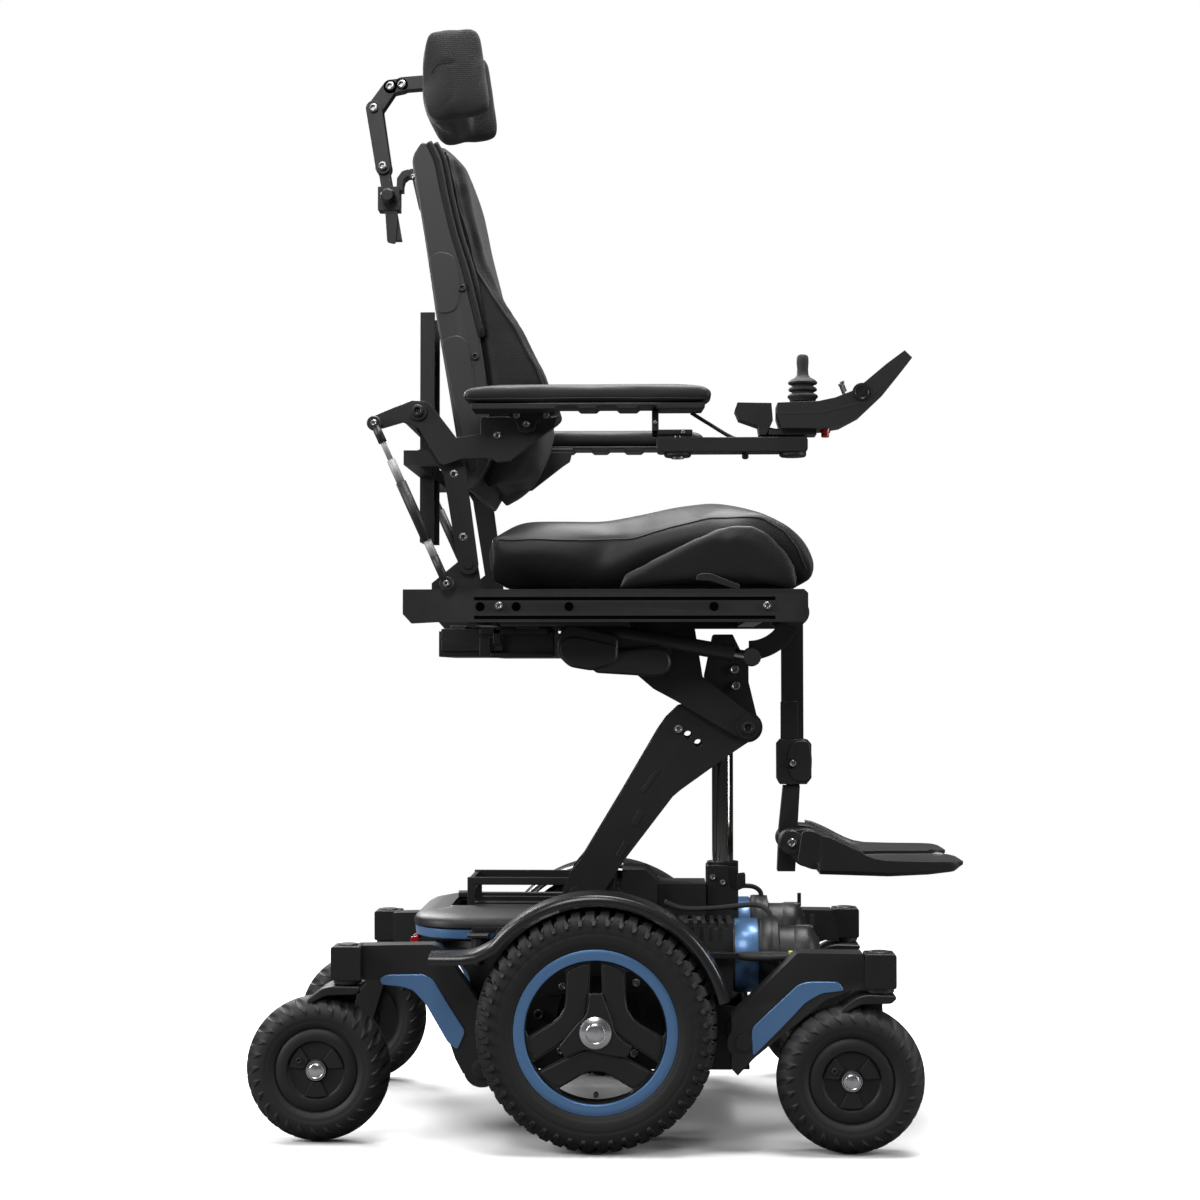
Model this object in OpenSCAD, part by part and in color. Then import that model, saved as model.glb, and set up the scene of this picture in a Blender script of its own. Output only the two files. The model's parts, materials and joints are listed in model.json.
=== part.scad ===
// Mid-wheel-drive power wheelchair with a seat lift, tilt, recline and powered legrest.
// Millimetres. Origin on the floor under the middle of the overall length and width,
// +X forwards, +Y to the sitter's left, +Z up. The seat is drawn fully raised.

/* [Drive wheels] */
// Radius of the drive tyre over its tread
drive_r = 177; // [172:1:180]
// Width of the drive tyre
drive_w = 80; // [72:1:82]
// Distance from the centre line to the middle of each drive tyre
drive_y = 287; // [287:1:296]
// Radius of the drive rim
rim_r = 117; // [112:1:122]

/* [Casters] */
// Radius of the caster tyre
caster_r = 108; // [100:1:108]
// Width of the caster tyre
caster_w = 64; // [50:1:66]
// Radius of the caster hub
caster_hub_r = 60; // [50:1:66]
// Distance from the centre line to each front swivel axis
front_caster_y = 288; // [285:1:300]
// Distance from the centre line to each rear swivel axis
rear_caster_y = 230; // [228:1:236]
// How far each caster wheel trails behind its swivel axis
caster_trail = 43; // [38:1:45]

/* [Chassis] */
// Width of the chassis over its side plates
chassis_w = 380; // [376:1:384]
// Thickness of the chassis plates
plate_t = 6; // [4:0.5:8]
// Depth of the central floor under the seat lift
belly_z = 100; // [96:1:104]

/* [Seat lift] */
// Radius of the outer moving tube of the lift column
stage_r = 17; // [16:0.5:19]
// Radius of the inner rod of the lift column
rod_r = 13; // [11:0.5:13.5]

/* [Seat] */
// Width over the seat side rails
rail_w = 500; // [498:1:502]
// Length of each seat side rail
rail_l = 548; // [520:1:560]
// Width of the seat cushion
cushion_w = 436; // [400:2:440]

/* [Armrests] */
// Length of each arm pad
pad_l = 363; // [320:1:370]
// Width of each arm pad
pad_w = 68; // [60:1:72]

/* [Fit] */
// Radial clearance between a shaft and the hole that it turns or slides in
run_gap = 0.08; // [0.04:0.01:0.1]

/* [Hidden] */
$fn = 64;
e = 0.5;

// Running gear, as [x, z]
axle = [0, drive_r];
front_swivel = [413, 0];
rear_swivel = [-374, 0];
footplate_tip = 556;
barrel_z = [234, 288];
front_arm_pivot = [215, 160];
rear_arm_pivot = [-173, 106];
side_y = chassis_w / 2;

// Modules are drawn with x = 0 at the drive axle, and are then moved back by the x of mid-length
middle_x = (footplate_tip + rear_swivel[0] - caster_trail - caster_r) / 2;

// Lift, as [x, z]
column_x = 193;
elbow = [230, 612];
lift_foot = [-40, 351];
slot_z = [332, 363];

// Seat, as [x, z]
recline_pivot = [-194, 860];
link_foot = [-224, 830];
lever_pivot = [-268, 1089];
link_head = [-333, 1070];
armrest_pivot = [-105, 1068];
knee = [300, 790];
rod_end = [235, 722];
actuator_tail = [-50, 772];
foot_pivot = [300, 430];
rail_y = rail_w / 2;
rail_z = [773, 822];
arm_pad_y = 290;
joystick_y = 275;
swing_pivot_x = 120;
mount_pivot_x = 278;
stick_x = 305;
stick_z = 1101;

// Headrest, as [x, z]
post_top = [-356, 1519];
link_top = [-371, 1614];
pad_stem = [-326, 1654];

// ---- helpers ----

// Moves a sub-part from the drive axle's frame to the chair's frame
module placed() {
    translate([-middle_x, 0, 0]) children();
}

// Extrudes an [x, z] outline across the chair, from y0 to y1
module slab(y0, y1) {
    translate([0, y1, 0]) rotate([90, 0, 0]) linear_extrude(y1 - y0) children();
}

// Box from its lowest corner to its highest corner
module block(low, high) {
    translate(low) cube(high - low);
}

// Round bar across the chair, centred on the [x, z] point p
module bar_y(p, r, y0, y1) {
    translate([p[0], y0, p[1]]) rotate([-90, 0, 0]) cylinder(r = r, h = y1 - y0);
}

// Round bar in a plane of constant y, between the [x, z] points a and b
module bar_xz(a, b, y, r) {
    d = b - a;
    translate([a[0], y, a[1]]) rotate([0, atan2(d[0], d[1]), 0]) cylinder(r = r, h = norm(d));
}

// Flat strap outline between the [x, z] points a and b, with round ends
module strap(a, b, ra, rb) {
    d = b - a;
    n = [-d[1], d[0]] / norm(d);
    translate(a) circle(r = ra);
    translate(b) circle(r = rb);
    polygon([a + n * ra, b + n * rb, b - n * rb, a - n * ra]);
}

// Draws its children for the left side, mirrored when side is -1
module on_side(side) {
    if (side > 0) children();
    else mirror([0, 1, 0]) children();
}

module both_sides() {
    on_side(1) children();
    on_side(-1) children();
}

// ---- chassis ----

// Side plate of the chassis, with the pins that the suspension arms turn on
module chassis_side() {
    difference() {
        union() {
            slab(side_y - plate_t, side_y) {
                polygon([
                    [-195, belly_z], [-195, 250], [-150, 312], [120, 312], [122, 206],
                    [240, 190], [240, 130], [200, belly_z]
                ]);
                translate(rear_arm_pivot) circle(r = 22);
            }
            bar_y(rear_arm_pivot, 10, side_y - plate_t, rear_caster_y + 2);
            bar_y(front_arm_pivot, 12, side_y - plate_t, front_caster_y + 14);
        }
        bar_y(axle, 62, side_y - plate_t - e, side_y + e);
        for (x = [-120, 90]) bar_y([x, 255], 18, side_y - plate_t - e, side_y + e);
    }
}

module base_frame() color("dimgray") {
    both_sides() chassis_side();
    inner = side_y - plate_t + 2;
    block([-194, -inner, belly_z], [228, inner, belly_z + plate_t]);
    block([-193, -inner, belly_z + 2], [-187, inner, 309]);
    block([221, -inner, belly_z + 2], [227, inner, 186]);
    difference() {
        block([-190, -inner, 305], [119, inner, 311]);
        block([-150, -40, 300], [20, 40, 320]);
    }
    // Rear bumper beam under the shroud's tail
    block([-262, -150, 262], [-190, 150, 274]);
    // Brackets that the rear bump stops hang from
    both_sides() block([-196, 182, 300], [-165, 224, 304]);
}

// Moulded shroud over the electronics, open in the middle for the lift rails
module base_cover() color("black") {
    top = 346;
    wall = 4;
    skirt_z = 284;
    front_skirt_z = 313.5;
    difference() {
        translate([0, 0, skirt_z]) linear_extrude(top - skirt_z) cover_plan(0);
        translate([0, 0, skirt_z - e]) linear_extrude(top - wall - skirt_z + e) cover_plan(wall);
        block([-200, -200, skirt_z - e], [200, 200, front_skirt_z]);
        block([-235, -84, 300], [200, 84, top + e]);
    }
}

// Plan of the shroud: a rectangle with a rounded tail, shrunk by inset
module cover_plan(inset) {
    corner = 90;
    front_x = 120 - inset;
    half = 184 - inset;
    intersection() {
        union() {
            translate([-290 + corner, -half]) square([front_x + 290 - corner, 2 * half]);
            translate([-290 + inset, -half + corner]) square([corner, 2 * (half - corner)]);
            for (s = [-1, 1])
                translate([-290 + corner, s * (half - corner + inset)]) circle(r = corner - inset);
        }
        translate([-400, -half]) square([800, 2 * half]);
    }
}

// Arched guard over each drive wheel, with a flat tail and two struts to the chassis
module fenders() color("black") both_sides() {
    inner = 232;
    outer = 322;
    guard_r = 198;
    guard_t = 4;
    lip = 8;
    slab(inner, outer) guard_outline(guard_r, guard_t);
    slab(outer - 3, outer) guard_outline(guard_r, guard_t + lip);
    for (x = [-60, 40]) {
        block([x, side_y - 5, 312.2], [x + 24, side_y + 1, 354]);
        block([x, side_y - 5, 348], [x + 24, inner + 6, 354]);
        block([x, inner, 348], [x + 24, inner + 6, 368]);
    }
}

// Arch about the axle from the front edge round to a flat tail
module guard_outline(r, t) {
    front_angle = 16;
    rear_angle = 146;
    tail_x = -243;
    reach = 2 * r;
    translate(axle) {
        intersection() {
            difference() {
                circle(r = r);
                circle(r = r - t);
            }
            polygon([
                [0, 0], reach * [cos(front_angle), sin(front_angle)], [reach, reach], [-reach, reach],
                reach * [cos(rear_angle), sin(rear_angle)]
            ]);
        }
        translate([tail_x, 106]) square([86, 7]);
    }
}

module batteries() color("slategray") for (x = [-185, -10]) {
    difference() {
        block([x, -90, belly_z + plate_t + 1], [x + 170, 90, 298]);
        for (s = [-1, 1]) block([x - e, s * 80 - 12, 285], [x + 20, s * 80 + 12, 299]);
    }
    for (s = [-1, 1]) translate([x + 150, s * 55, 297]) cylinder(r = 8, h = 6);
}

// Motor, brake and right-angle gearbox for each drive wheel
module gear_motors() color("black") both_sides() gear_motor();

module gear_motor() {
    motor_y = 153;
    motor_z = 267;
    inner = 96;
    outer = side_y - plate_t - 1;
    difference() {
        slab(inner, outer) {
            translate(axle) circle(r = 60);
            polygon([[-60, 177], [-30, 298], [128, 298], [128, 215], [60, 177]]);
        }
        bar_y(axle, 14 + run_gap, inner - e, outer + e);
    }
    // Slotted input cover
    difference() {
        block([128, inner, 213], [203, 199, 321]);
        for (i = [0 : 4]) block([136 + i * 13, inner - e, 312], [143 + i * 13, 199 + e, 322]);
    }
    along_x(203, motor_y, motor_z) cylinder(r = 54, h = 41);
    along_x(244, motor_y, motor_z) cylinder(r = 58, h = 27);
    along_x(271, motor_y, motor_z) cylinder(r = 45, h = 46);
    along_x(317, motor_y, motor_z) cylinder(r1 = 45, r2 = 27, h = 18);
    // Brake release lever
    along_x(300, motor_y, motor_z + 40) cylinder(r = 7, h = 26);
    translate([322, motor_y - 3, motor_z + 40]) cube([6, 6, 22]);
}

// Puts a cylinder's axis along +X, starting at x
module along_x(x, y, z) {
    translate([x, y, z]) rotate([0, 90, 0]) children();
}

// Slotted guide plates that the feet of the lift arm slide in
module lift_rails() color("black") {
    both_sides() {
        difference() {
            block([-211, 58, 324], [22, 64, 375]);
            block([-199, 58 - e, slot_z[0]], [8, 64 + e, slot_z[1]]);
        }
        block([-211, 42, 313], [22, 64, 324.5]);
    }
    block([-211, -60, 350], [-203, 60, 372]);
    along_x(-231, 0, 341) cylinder(r = 7, h = 28, $fn = 6);
}

// Fixed guide of the lift column and the drive box beside it
module column_socket() color("black") {
    guide_r = 25;
    difference() {
        union() {
            translate([column_x, 0, 118]) cylinder(r = guide_r, h = 278);
            block([166, -29, 325], [217, 29, 390]);
            block([163, -40, 308], [217, 40, 322]);
        }
        translate([column_x, 0, 117]) cylinder(r = stage_r + run_gap, h = 300);
    }
    slab(-46, 46) polygon([[88, 314], [88, 364], [165, 364], [165, 314]]);
    slab(-56, 56) polygon([[33, 314], [33, 387], [70, 387], [88, 370], [88, 314]]);
}

// Rings for transport straps, one near each corner of the base
module tie_down_loops() color("silver") both_sides() {
    tie_loop([252, 232, 270]);
    block([150, side_y + 9, 270], [195, side_y + 28, 279]);
    block([150, side_y + 22, 270], [252, side_y + 28, 279]);
    tie_loop([-228, 168, 253]);
}

// Flat ring with its lower face centred on p
module tie_loop(p) {
    loop_t = 9;
    translate(p) difference() {
        cylinder(r = 17, h = loop_t);
        translate([0, 0, -e]) cylinder(r = 10, h = loop_t + 2 * e);
    }
}

// Bump stops above the rear arms, and dampers of the front arms inside the chassis
module shock_absorbers() color("gray") both_sides() {
    bar_xz([-180, 299.5], [-180, 272], 210, 11);
    bar_xz([-180, 272.5], [-180, 258], 210, 8);
    bar_xz([135, 160], [185, 160], 150, 15);
    bar_xz([184, 160], [214, 160], 150, 7);
}

// ---- drive wheels ----

module drive_tyre(side) color("black") on_side(side) {
    w = drive_w;
    shoulder = 12;
    translate([0, drive_y + w / 2, axle[1]]) rotate([90, 0, 0]) rotate_extrude($fn = 96)
        polygon([
            [rim_r, 8], [rim_r + 8, 3], [drive_r - 30, 0], [drive_r - shoulder, 4],
            [drive_r, shoulder + 4], [drive_r, w - shoulder - 4], [drive_r - shoulder, w - 4],
            [drive_r - 30, w], [rim_r + 8, w - 3], [rim_r, w - 8]
        ]);
}

// Rim with three large windows and three narrow slots, and the axle that drives it
module drive_rim(side) color("black") on_side(side) {
    inner = drive_y - drive_w / 2 + 8;
    outer = drive_y + drive_w / 2 - 8;
    face = outer - 14;
    translate([0, 0, axle[1]]) difference() {
        union() {
            slab(inner, outer) difference() {
                circle(r = rim_r - 0.2);
                circle(r = rim_r - 9);
            }
            slab(face, face + 10) difference() {
                circle(r = rim_r - 8);
                for (a = [30, 150, 270]) rotate(a) wheel_window();
                for (a = [90, 210, 330]) rotate(a) polygon([[56, -9], [101, -7], [101, 7], [56, 9]]);
            }
            slab(inner + 12, outer + 3) circle(r = 22);
        }
    }
    bar_y(axle, 14, side_y - plate_t - 60, inner + 14);
}

// Window outline: narrow towards the hub, and wide and arched along the rim
module wheel_window() {
    polygon([
        [57, -8], [63, -22], [82, -54], [92, -46], [101, -24], [104, 0], [101, 24], [92, 46], [82, 54],
        [63, 22], [57, 8]
    ]);
}

// ---- casters and suspension arms ----

module suspension_arm_front(side) color("black") on_side(side) {
    difference() {
        union() {
            slab(front_caster_y - 38, front_caster_y + 12) polygon([
                [388, 289], [293, 290], [212, 211], [197, 197], [197, 122], [206, 113], [231, 139],
                [334, 223], [376, 238], [400, 236]
            ]);
            translate([front_swivel[0], front_caster_y, barrel_z[0]])
                cylinder(r = 21, h = barrel_z[1] - barrel_z[0]);
            bar_y(front_arm_pivot, 24, side_y + 1.5, front_caster_y + 12);
        }
        translate([front_swivel[0], front_caster_y, barrel_z[0] - e])
            cylinder(r = 14 + run_gap, h = barrel_z[1] - barrel_z[0] - 6);
        bar_y(front_arm_pivot, 12 + run_gap, side_y, front_caster_y + 13);
    }
}

module suspension_arm_rear(side) color("black") on_side(side) {
    difference() {
        union() {
            slab(side_y + 2, rear_caster_y - 1) {
                polygon([
                    [-362, 289], [-248, 291], [-236, 287], [-218, 263], [-166, 190], [-164, 141],
                    [-173, 92], [-201, 100], [-213, 122], [-236, 189], [-251, 208], [-274, 223],
                    [-326, 237], [-362, 240]
                ]);
                translate(rear_arm_pivot) circle(r = 27);
            }
            translate([rear_swivel[0], rear_caster_y, barrel_z[0]])
                cylinder(r = 21, h = barrel_z[1] - barrel_z[0]);
        }
        translate([rear_swivel[0], rear_caster_y, barrel_z[0] - e])
            cylinder(r = 14 + run_gap, h = barrel_z[1] - barrel_z[0] - 6);
        bar_y(rear_arm_pivot, 10 + run_gap, side_y, rear_caster_y);
    }
}

// Single-sided fork: stem, crown above the wheel, leg on the inner side, and axle
module fork(swivel_x, swivel_y, side) color("black") on_side(side)
    translate([swivel_x, swivel_y, 0]) {
        hub = [-caster_trail, caster_r];
        inner = caster_w / 2 + 4;
        leg_t = 11;
        crown_z = [219, 229];
        translate([0, 0, crown_z[1] - e]) cylinder(r = 14, h = 48);
        cylinder_at(0, 0, crown_z[0], 20, crown_z[1] - crown_z[0]);
        block([-32, -inner - leg_t, crown_z[0]], [8, 18, crown_z[1]]);
        slab(-inner - leg_t, -inner) {
            strap(hub, [-12, crown_z[1] - 20], 21, 20);
        }
        bar_y(hub, 6, -inner - e, caster_w / 2 - 6);
    }

module cylinder_at(x, y, z, r, h) {
    translate([x, y, z]) cylinder(r = r, h = h);
}

module caster_tyre(swivel_x, swivel_y, side) color("black") on_side(side)
    translate([swivel_x - caster_trail, swivel_y + caster_w / 2, caster_r])
        rotate([90, 0, 0]) rotate_extrude() caster_section(caster_w);

// Rounded tread section, drawn with its radius along x
module caster_section(w) {
    intersection() {
        translate([caster_hub_r, 0]) square([caster_r - caster_hub_r, w]);
        translate([caster_r - 44, w / 2]) circle(r = 44);
    }
}

module caster_hub(swivel_x, swivel_y, side) color("black") on_side(side)
    translate([swivel_x - caster_trail, swivel_y, caster_r]) difference() {
        union() {
            slab(-caster_w / 2 + 8, caster_w / 2 - 8) circle(r = caster_hub_r - 0.2);
            slab(-caster_w / 2 + 2, caster_w / 2 - 4) circle(r = 30);
        }
        bar_y([0, 0], 6 + run_gap, -caster_w / 2, caster_w / 2 - 5.5);
        for (a = [30 : 120 : 270]) rotate([0, a, 0])
            block([36, caster_w / 2 - 14, -9], [52, caster_w / 2, 9]);
    }

// ---- seat lift ----

module column_stage() color("silver") difference() {
    translate([column_x, 0, 345]) cylinder(r = stage_r, h = 245);
    translate([column_x, 0, 340]) cylinder(r = rod_r + run_gap, h = 260);
}

// Head of the lift: the inner rod, a bridge over it, and the plates that hold the elbow pin
module lift_carrier() color("black") {
    bridge_z = [745, 758];
    translate([column_x, 0, 540]) cylinder(r = rod_r, h = bridge_z[0] - 540 + 1);
    block([178, -58, bridge_z[0]], [208, 58, bridge_z[1]]);
    both_sides() difference() {
        slab(50, 58) {
            polygon([
                [164, 691], [178, bridge_z[1]], [208, bridge_z[1]], [233, 707], [233, 683], [248, 620],
                [216, 602]
            ]);
            translate(elbow) circle(r = 19);
        }
        bar_y([210, 703], 5.5, 49, 59);
        bar_y([212, 677], 5.5, 49, 59);
    }
    bar_y(elbow, 10, -91, 91);
    both_sides() bar_y(elbow, 18, 91, 95);
}

// Folding lower arm: two plates joined by a cross tube, with sliding feet
module lift_arm() color("black") {
    cross = [95, 575];
    both_sides() {
        difference() {
            slab(66, 76) {
                polygon([
                    [30, 507], [88, 606], [102, 626], [122, 645], [150, 650], [216, 628], [237, 592],
                    [207, 572], [179, 552], [126, 514], [113, 503], [35, 401], [3, 351], [-24, 338],
                    [-50, 340], [-60, 352], [-48, 385], [-32, 404]
                ]);
                translate(elbow) circle(r = 24);
                translate(lift_foot) circle(r = 18);
            }
            bar_y(elbow, 10 + run_gap, 65, 77);
            bar_y([137, 600], 6, 65, 77);
            bar_y([153, 587], 6, 65, 77);
            bar_y(cross, 10, 65, 77);
        }
        bar_y(lift_foot, 4, 50, 67);
        bar_y(lift_foot, 10, 75.5, 80);
    }
    bar_y(cross, 10, -76, 76);
}

// ---- seat ----

// Seat chassis: side rails, pan, cross members, upper lift arms and recline lugs
module seat_frame() color("dimgray") {
    pan_z = 815;
    front_x = -234 + rail_l;
    both_sides() {
        seat_rail(front_x);
        upper_lift_arm();
        difference() {
            recline_lug();
            bar_y([-175, 796], 6, 221, 238);
        }
        // Knee bracket of the legrest
        difference() {
            slab(150, 160) {
                translate(knee) circle(r = 22);
                polygon([[250, 822], [316, 822], [322, 790], [280, 780]]);
            }
            bar_y(knee, 10 + run_gap, 149, 161);
        }
    }
    // Pan and cross members
    block([-165, -rail_y + 14.5, pan_z], [front_x - 4, rail_y - 14.5, pan_z + 6]);
    for (x = [-214, 80, 225]) block([x, -rail_y + 14, 776], [x + 28, rail_y - 14, pan_z + 0.5]);
    block([-214, -60, pan_z], [-160, 60, pan_z + 6]);
    // Rear pivot ears of the legrest actuator
    difference() {
        union() {
            slab(-118, -112) actuator_ear(pan_z);
            slab(-150, -144) actuator_ear(pan_z);
        }
        bar_y(actuator_tail, 5 + run_gap, -151, -111);
    }
}

module actuator_ear(top) {
    translate(actuator_tail) circle(r = 14);
    translate(actuator_tail + [-14, 0]) square([28, top - actuator_tail[1] + 1]);
}

// Side rail with two long grooves and a row of accessory holes
module seat_rail(front_x) {
    hole_x = [-175, -121, -42, 174];
    difference() {
        slab(rail_y - 14, rail_y) polygon([
            [-291, 785], [-278, 771], [-240, rail_z[0]], [front_x - 6, rail_z[0]], [front_x, 779],
            [front_x, 816], [front_x - 6, rail_z[1]], [-291, rail_z[1]]
        ]);
        for (z = [778, 806]) block([-184, rail_y - 2, z], [265, rail_y + 1, z + 4]);
        for (x = hole_x) bar_y([x, 796], 5, rail_y - 15, rail_y + 1);
    }
}

// Plate that carries the seat on the lift's elbow
module upper_lift_arm() {
    difference() {
        slab(82, 90) {
            polygon([
                [50, 816], [50, 700], [63, 689], [83, 672], [122, 651], [212, 598], [246, 624], [160, 691],
                [140, 816]
            ]);
            translate(elbow) circle(r = 20);
        }
        bar_y(elbow, 10 + run_gap, 81, 91);
    }
}

// Lug with the recline pin and, behind it, the pin of the armrest link
module recline_lug() {
    slab(222, 229) {
        polygon([[-250, 776], [-250, 832], [-206, 868], [-182, 868], [-166, 776]]);
        translate(recline_pivot) circle(r = 14);
    }
    bar_y(recline_pivot, 7, 228.5, 241);
    block([-250, 222, 776], [-166, rail_y - 13, 800]);
    bar_y(link_foot, 5, 228.5, 268);
}

// Contoured seat cushion
module seat_cushion() color("black") slab(-cushion_w / 2, cushion_w / 2) polygon([
    [-158, 823], [-167, 850], [-167, 905], [-156, 922], [-100, 926], [11, 925], [60, 936], [115, 950],
    [170, 958], [205, 959], [245, 954], [280, 935], [308, 903], [326, 866], [325, 842], [314, 823]
]);

module thigh_supports() color("black") both_sides() slab(221, 235) polygon([
    [34, 824], [42, 846], [80, 869], [140, 899], [176, 913], [206, 918], [232, 916], [254, 905],
    [278, 881], [294, 856], [298, 824]
]);

// Power electronics under the seat
module seat_module() color("black") {
    block([-251, -120, 722], [-71, 120, 762]);
    for (x = [-240, -100]) block([x, -60, 762], [x + 26, 60, 772]);
}

// Gearmotors of the tilt and recline actuators, on the underside of the seat
module seat_actuators() color("gray") for (s = [-1, 1]) {
    along_x(-150, s * 186, 790) cylinder(r = 22, h = 190);
    along_x(-178, s * 186, 790) cylinder(r = 13, h = 30);
}

// ---- back ----

module back_frame() color("dimgray") {
    channel_w = 80;
    both_sides() difference() {
        union() {
            slab(231, 238) {
                strap(recline_pivot, [-215, 1000], 15, 17);
                strap([-215, 1000], lever_pivot, 17, 17);
            }
            bar_y(lever_pivot, 8, 238, 256);
            bar_y(lever_pivot, 14, 256, 259);
        }
        bar_y(recline_pivot, 7 + run_gap, 230, 239);
    }
    for (z = [1010, 1075]) block([-292, -238, z], [-270, 238, z + 22]);
    both_sides() block([-292, 214, 1010], [-222, 238, 1032]);
    // Rear channel
    difference() {
        block([-291, -channel_w / 2, 906], [-268, channel_w / 2, 1276]);
        block([-285, -channel_w / 2 + 6, 900], [-260, channel_w / 2 - 6, 1284]);
        block([-293, -6, 950], [-280, 6, 1230]);
    }
    headrest_clamp();
}

// Clamp that the headrest post slides in, on a curved bracket against the rear of the shell
module headrest_clamp() {
    difference() {
        block([-364, -15, 1448], [-329, 15, 1486]);
        headrest_bar(0.3, 1380, 1500);
    }
    bar_y([-345, 1467], 8, -32, -14);
    slab(-14, 14) polygon([
        [-334, 1480], [-333, 1500], [-325, 1511], [-316, 1514], [-306, 1513], [-306, 1503], [-316, 1503],
        [-322, 1498], [-324, 1490], [-324, 1480]
    ]);
    slab(-22, 22) polygon([[-311, 1513], [-302, 1513], [-287.5, 1484], [-281, 1447], [-296, 1447]]);
}

// Straight flat bar of the headrest post, grown by gap, between two heights
module headrest_bar(gap, z0, z1) {
    r = 9 + gap;
    slope = (post_top[0] - -338) / (post_top[1] - 1415);
    x0 = post_top[0] + (z0 - post_top[1]) * slope;
    x1 = post_top[0] + (z1 - post_top[1]) * slope;
    slab(-10 - gap, 10 + gap)
        polygon([[x0 - r, z0], [x0 + r, z0], [x1 + r, z1], [x1 - r, z1]]);
}

// Moulded rear shell with side wings
module back_shell() color("black") {
    half = 206;
    difference() {
        slab(-half, half) polygon([
            [-271, 1508], [-286, 1485], [-265, 1361], [-247, 1239], [-227, 1123], [-209, 1013],
            [-197, 974], [-189, 974], [-161, 1022], [-168, 1133], [-180, 1209], [-204, 1306],
            [-223, 1367], [-238, 1429], [-248, 1479], [-262, 1508]
        ]);
        slab(-half + 12, half - 12) polygon([
            [-262, 1512], [-277, 1485], [-257, 1361], [-239, 1239], [-219, 1123], [-201, 1013],
            [-190, 960], [-100, 960], [-100, 1512]
        ]);
    }
}

// Back pad: the middle fills the shell, and the side bolsters stand in front of its wings
module back_cushion() color("black") {
    slab(-190, 190) polygon([
        [-252, 1507], [-268, 1485], [-248, 1361], [-231, 1239], [-211, 1123], [-193, 1013],
        [-183, 982], [-172, 983], [-150, 998], [-119, 1030], [-99, 1068], [-91, 1104], [-118, 1140],
        [-150, 1200], [-182, 1300], [-206, 1400], [-222, 1480], [-235, 1507]
    ]);
    both_sides() slab(189, 212) polygon([
        [-232, 1495], [-244, 1495], [-219, 1367], [-200, 1306], [-176, 1209], [-164, 1133], [-150, 1085],
        [-100, 1100], [-75, 1133], [-85, 1157], [-121, 1224], [-150, 1267], [-183, 1325],
        [-205, 1394], [-213, 1440]
    ]);
}

// ---- armrests ----

// Level-keeping rod between the seat and the tail of the armrest lever
module arm_link(side) color("black") on_side(side) {
    y = 262;
    difference() {
        union() {
            slab(y - 4, y + 4) {
                translate(link_foot) circle(r = 11);
                translate(link_head) circle(r = 11);
            }
            bar_xz(link_foot, link_head, y, 4);
            bar_xz(link_foot * 0.7 + link_head * 0.3, link_foot * 0.3 + link_head * 0.7, y, 7);
        }
        bar_y(link_foot, 5 + run_gap, y - 5, y + 7.5);
    }
}

// Lever on the back frame, with the bracket that the armrest flips on
module arm_lever(side) color("black") on_side(side) difference() {
    union() {
        slab(242, 254) {
            polygon([
                [-340, 1066], [-333, 1083], [-309, 1093], [-278, 1105], [-256, 1104], [-247, 1096],
                [-211, 1049], [-173, 1055], [-143, 1050], [-143, 1014], [-166, 1018], [-202, 1017],
                [-229, 1008], [-237, 1012], [-268, 1064], [-292, 1073], [-323, 1064]
            ]);
            polygon([
                [-174, 1080], [-60, 1080], [-64, 1064], [-76, 1056], [-130, 1014], [-150, 1012],
                [-176, 1030]
            ]);
            translate(armrest_pivot) circle(r = 14);
        }
        bar_y(armrest_pivot, 6, 253, 267);
        bar_y([-149, 1052], 6, 253.5, 255.5);
    }
    bar_y(lever_pivot, 8 + run_gap, 241, 255);
}

// Padded armrest with its hinge flange; the right one also carries the joystick bracket
module armrest(side) color("black") {
    on_side(side) {
        arm_pad();
        difference() {
            slab(256, 264) {
                translate(armrest_pivot) circle(r = 14);
                polygon([[-119, 1068], [-135, 1088], [-60, 1088], [-91, 1068]]);
            }
            bar_y(armrest_pivot, 6 + run_gap, 255, 265);
        }
    }
    if (side < 0) joystick_bracket();
}

module arm_pad() {
    rear_x = -194;
    top = 1121;
    slab(arm_pad_y - pad_w / 2, arm_pad_y + pad_w / 2) polygon([
        [rear_x, 1104], [rear_x + 12, top - 2], [rear_x + 40, top], [rear_x + pad_l - 16, top],
        [rear_x + pad_l - 3, top - 7], [rear_x + pad_l, 1104], [rear_x + pad_l - 8, 1090],
        [rear_x + 8, 1090]
    ]);
    slab(arm_pad_y - pad_w / 2 + 4, arm_pad_y + pad_w / 2 - 4) polygon([
        [rear_x + 12, 1083], [-60, 1083], [-56, 1087], [-28, 1087], [-24, 1083], [0, 1083], [4, 1087],
        [30, 1087], [34, 1083], [60, 1083], [64, 1087], [88, 1087], [92, 1083],
        [rear_x + pad_l - 14, 1083], [rear_x + pad_l - 10, 1091], [rear_x + 10, 1091]
    ]);
}

// Angle bracket under the pad, with the upright pin that the joystick arm swings on
module joystick_bracket() {
    y = -joystick_y;
    block([82, y - 14, 1048], [92, y + 14, 1085]);
    block([82, y - 14, 1048], [142, y + 14, 1056]);
    cylinder_at(swing_pivot_x, y, 1016, 6, 34);
}

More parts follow.
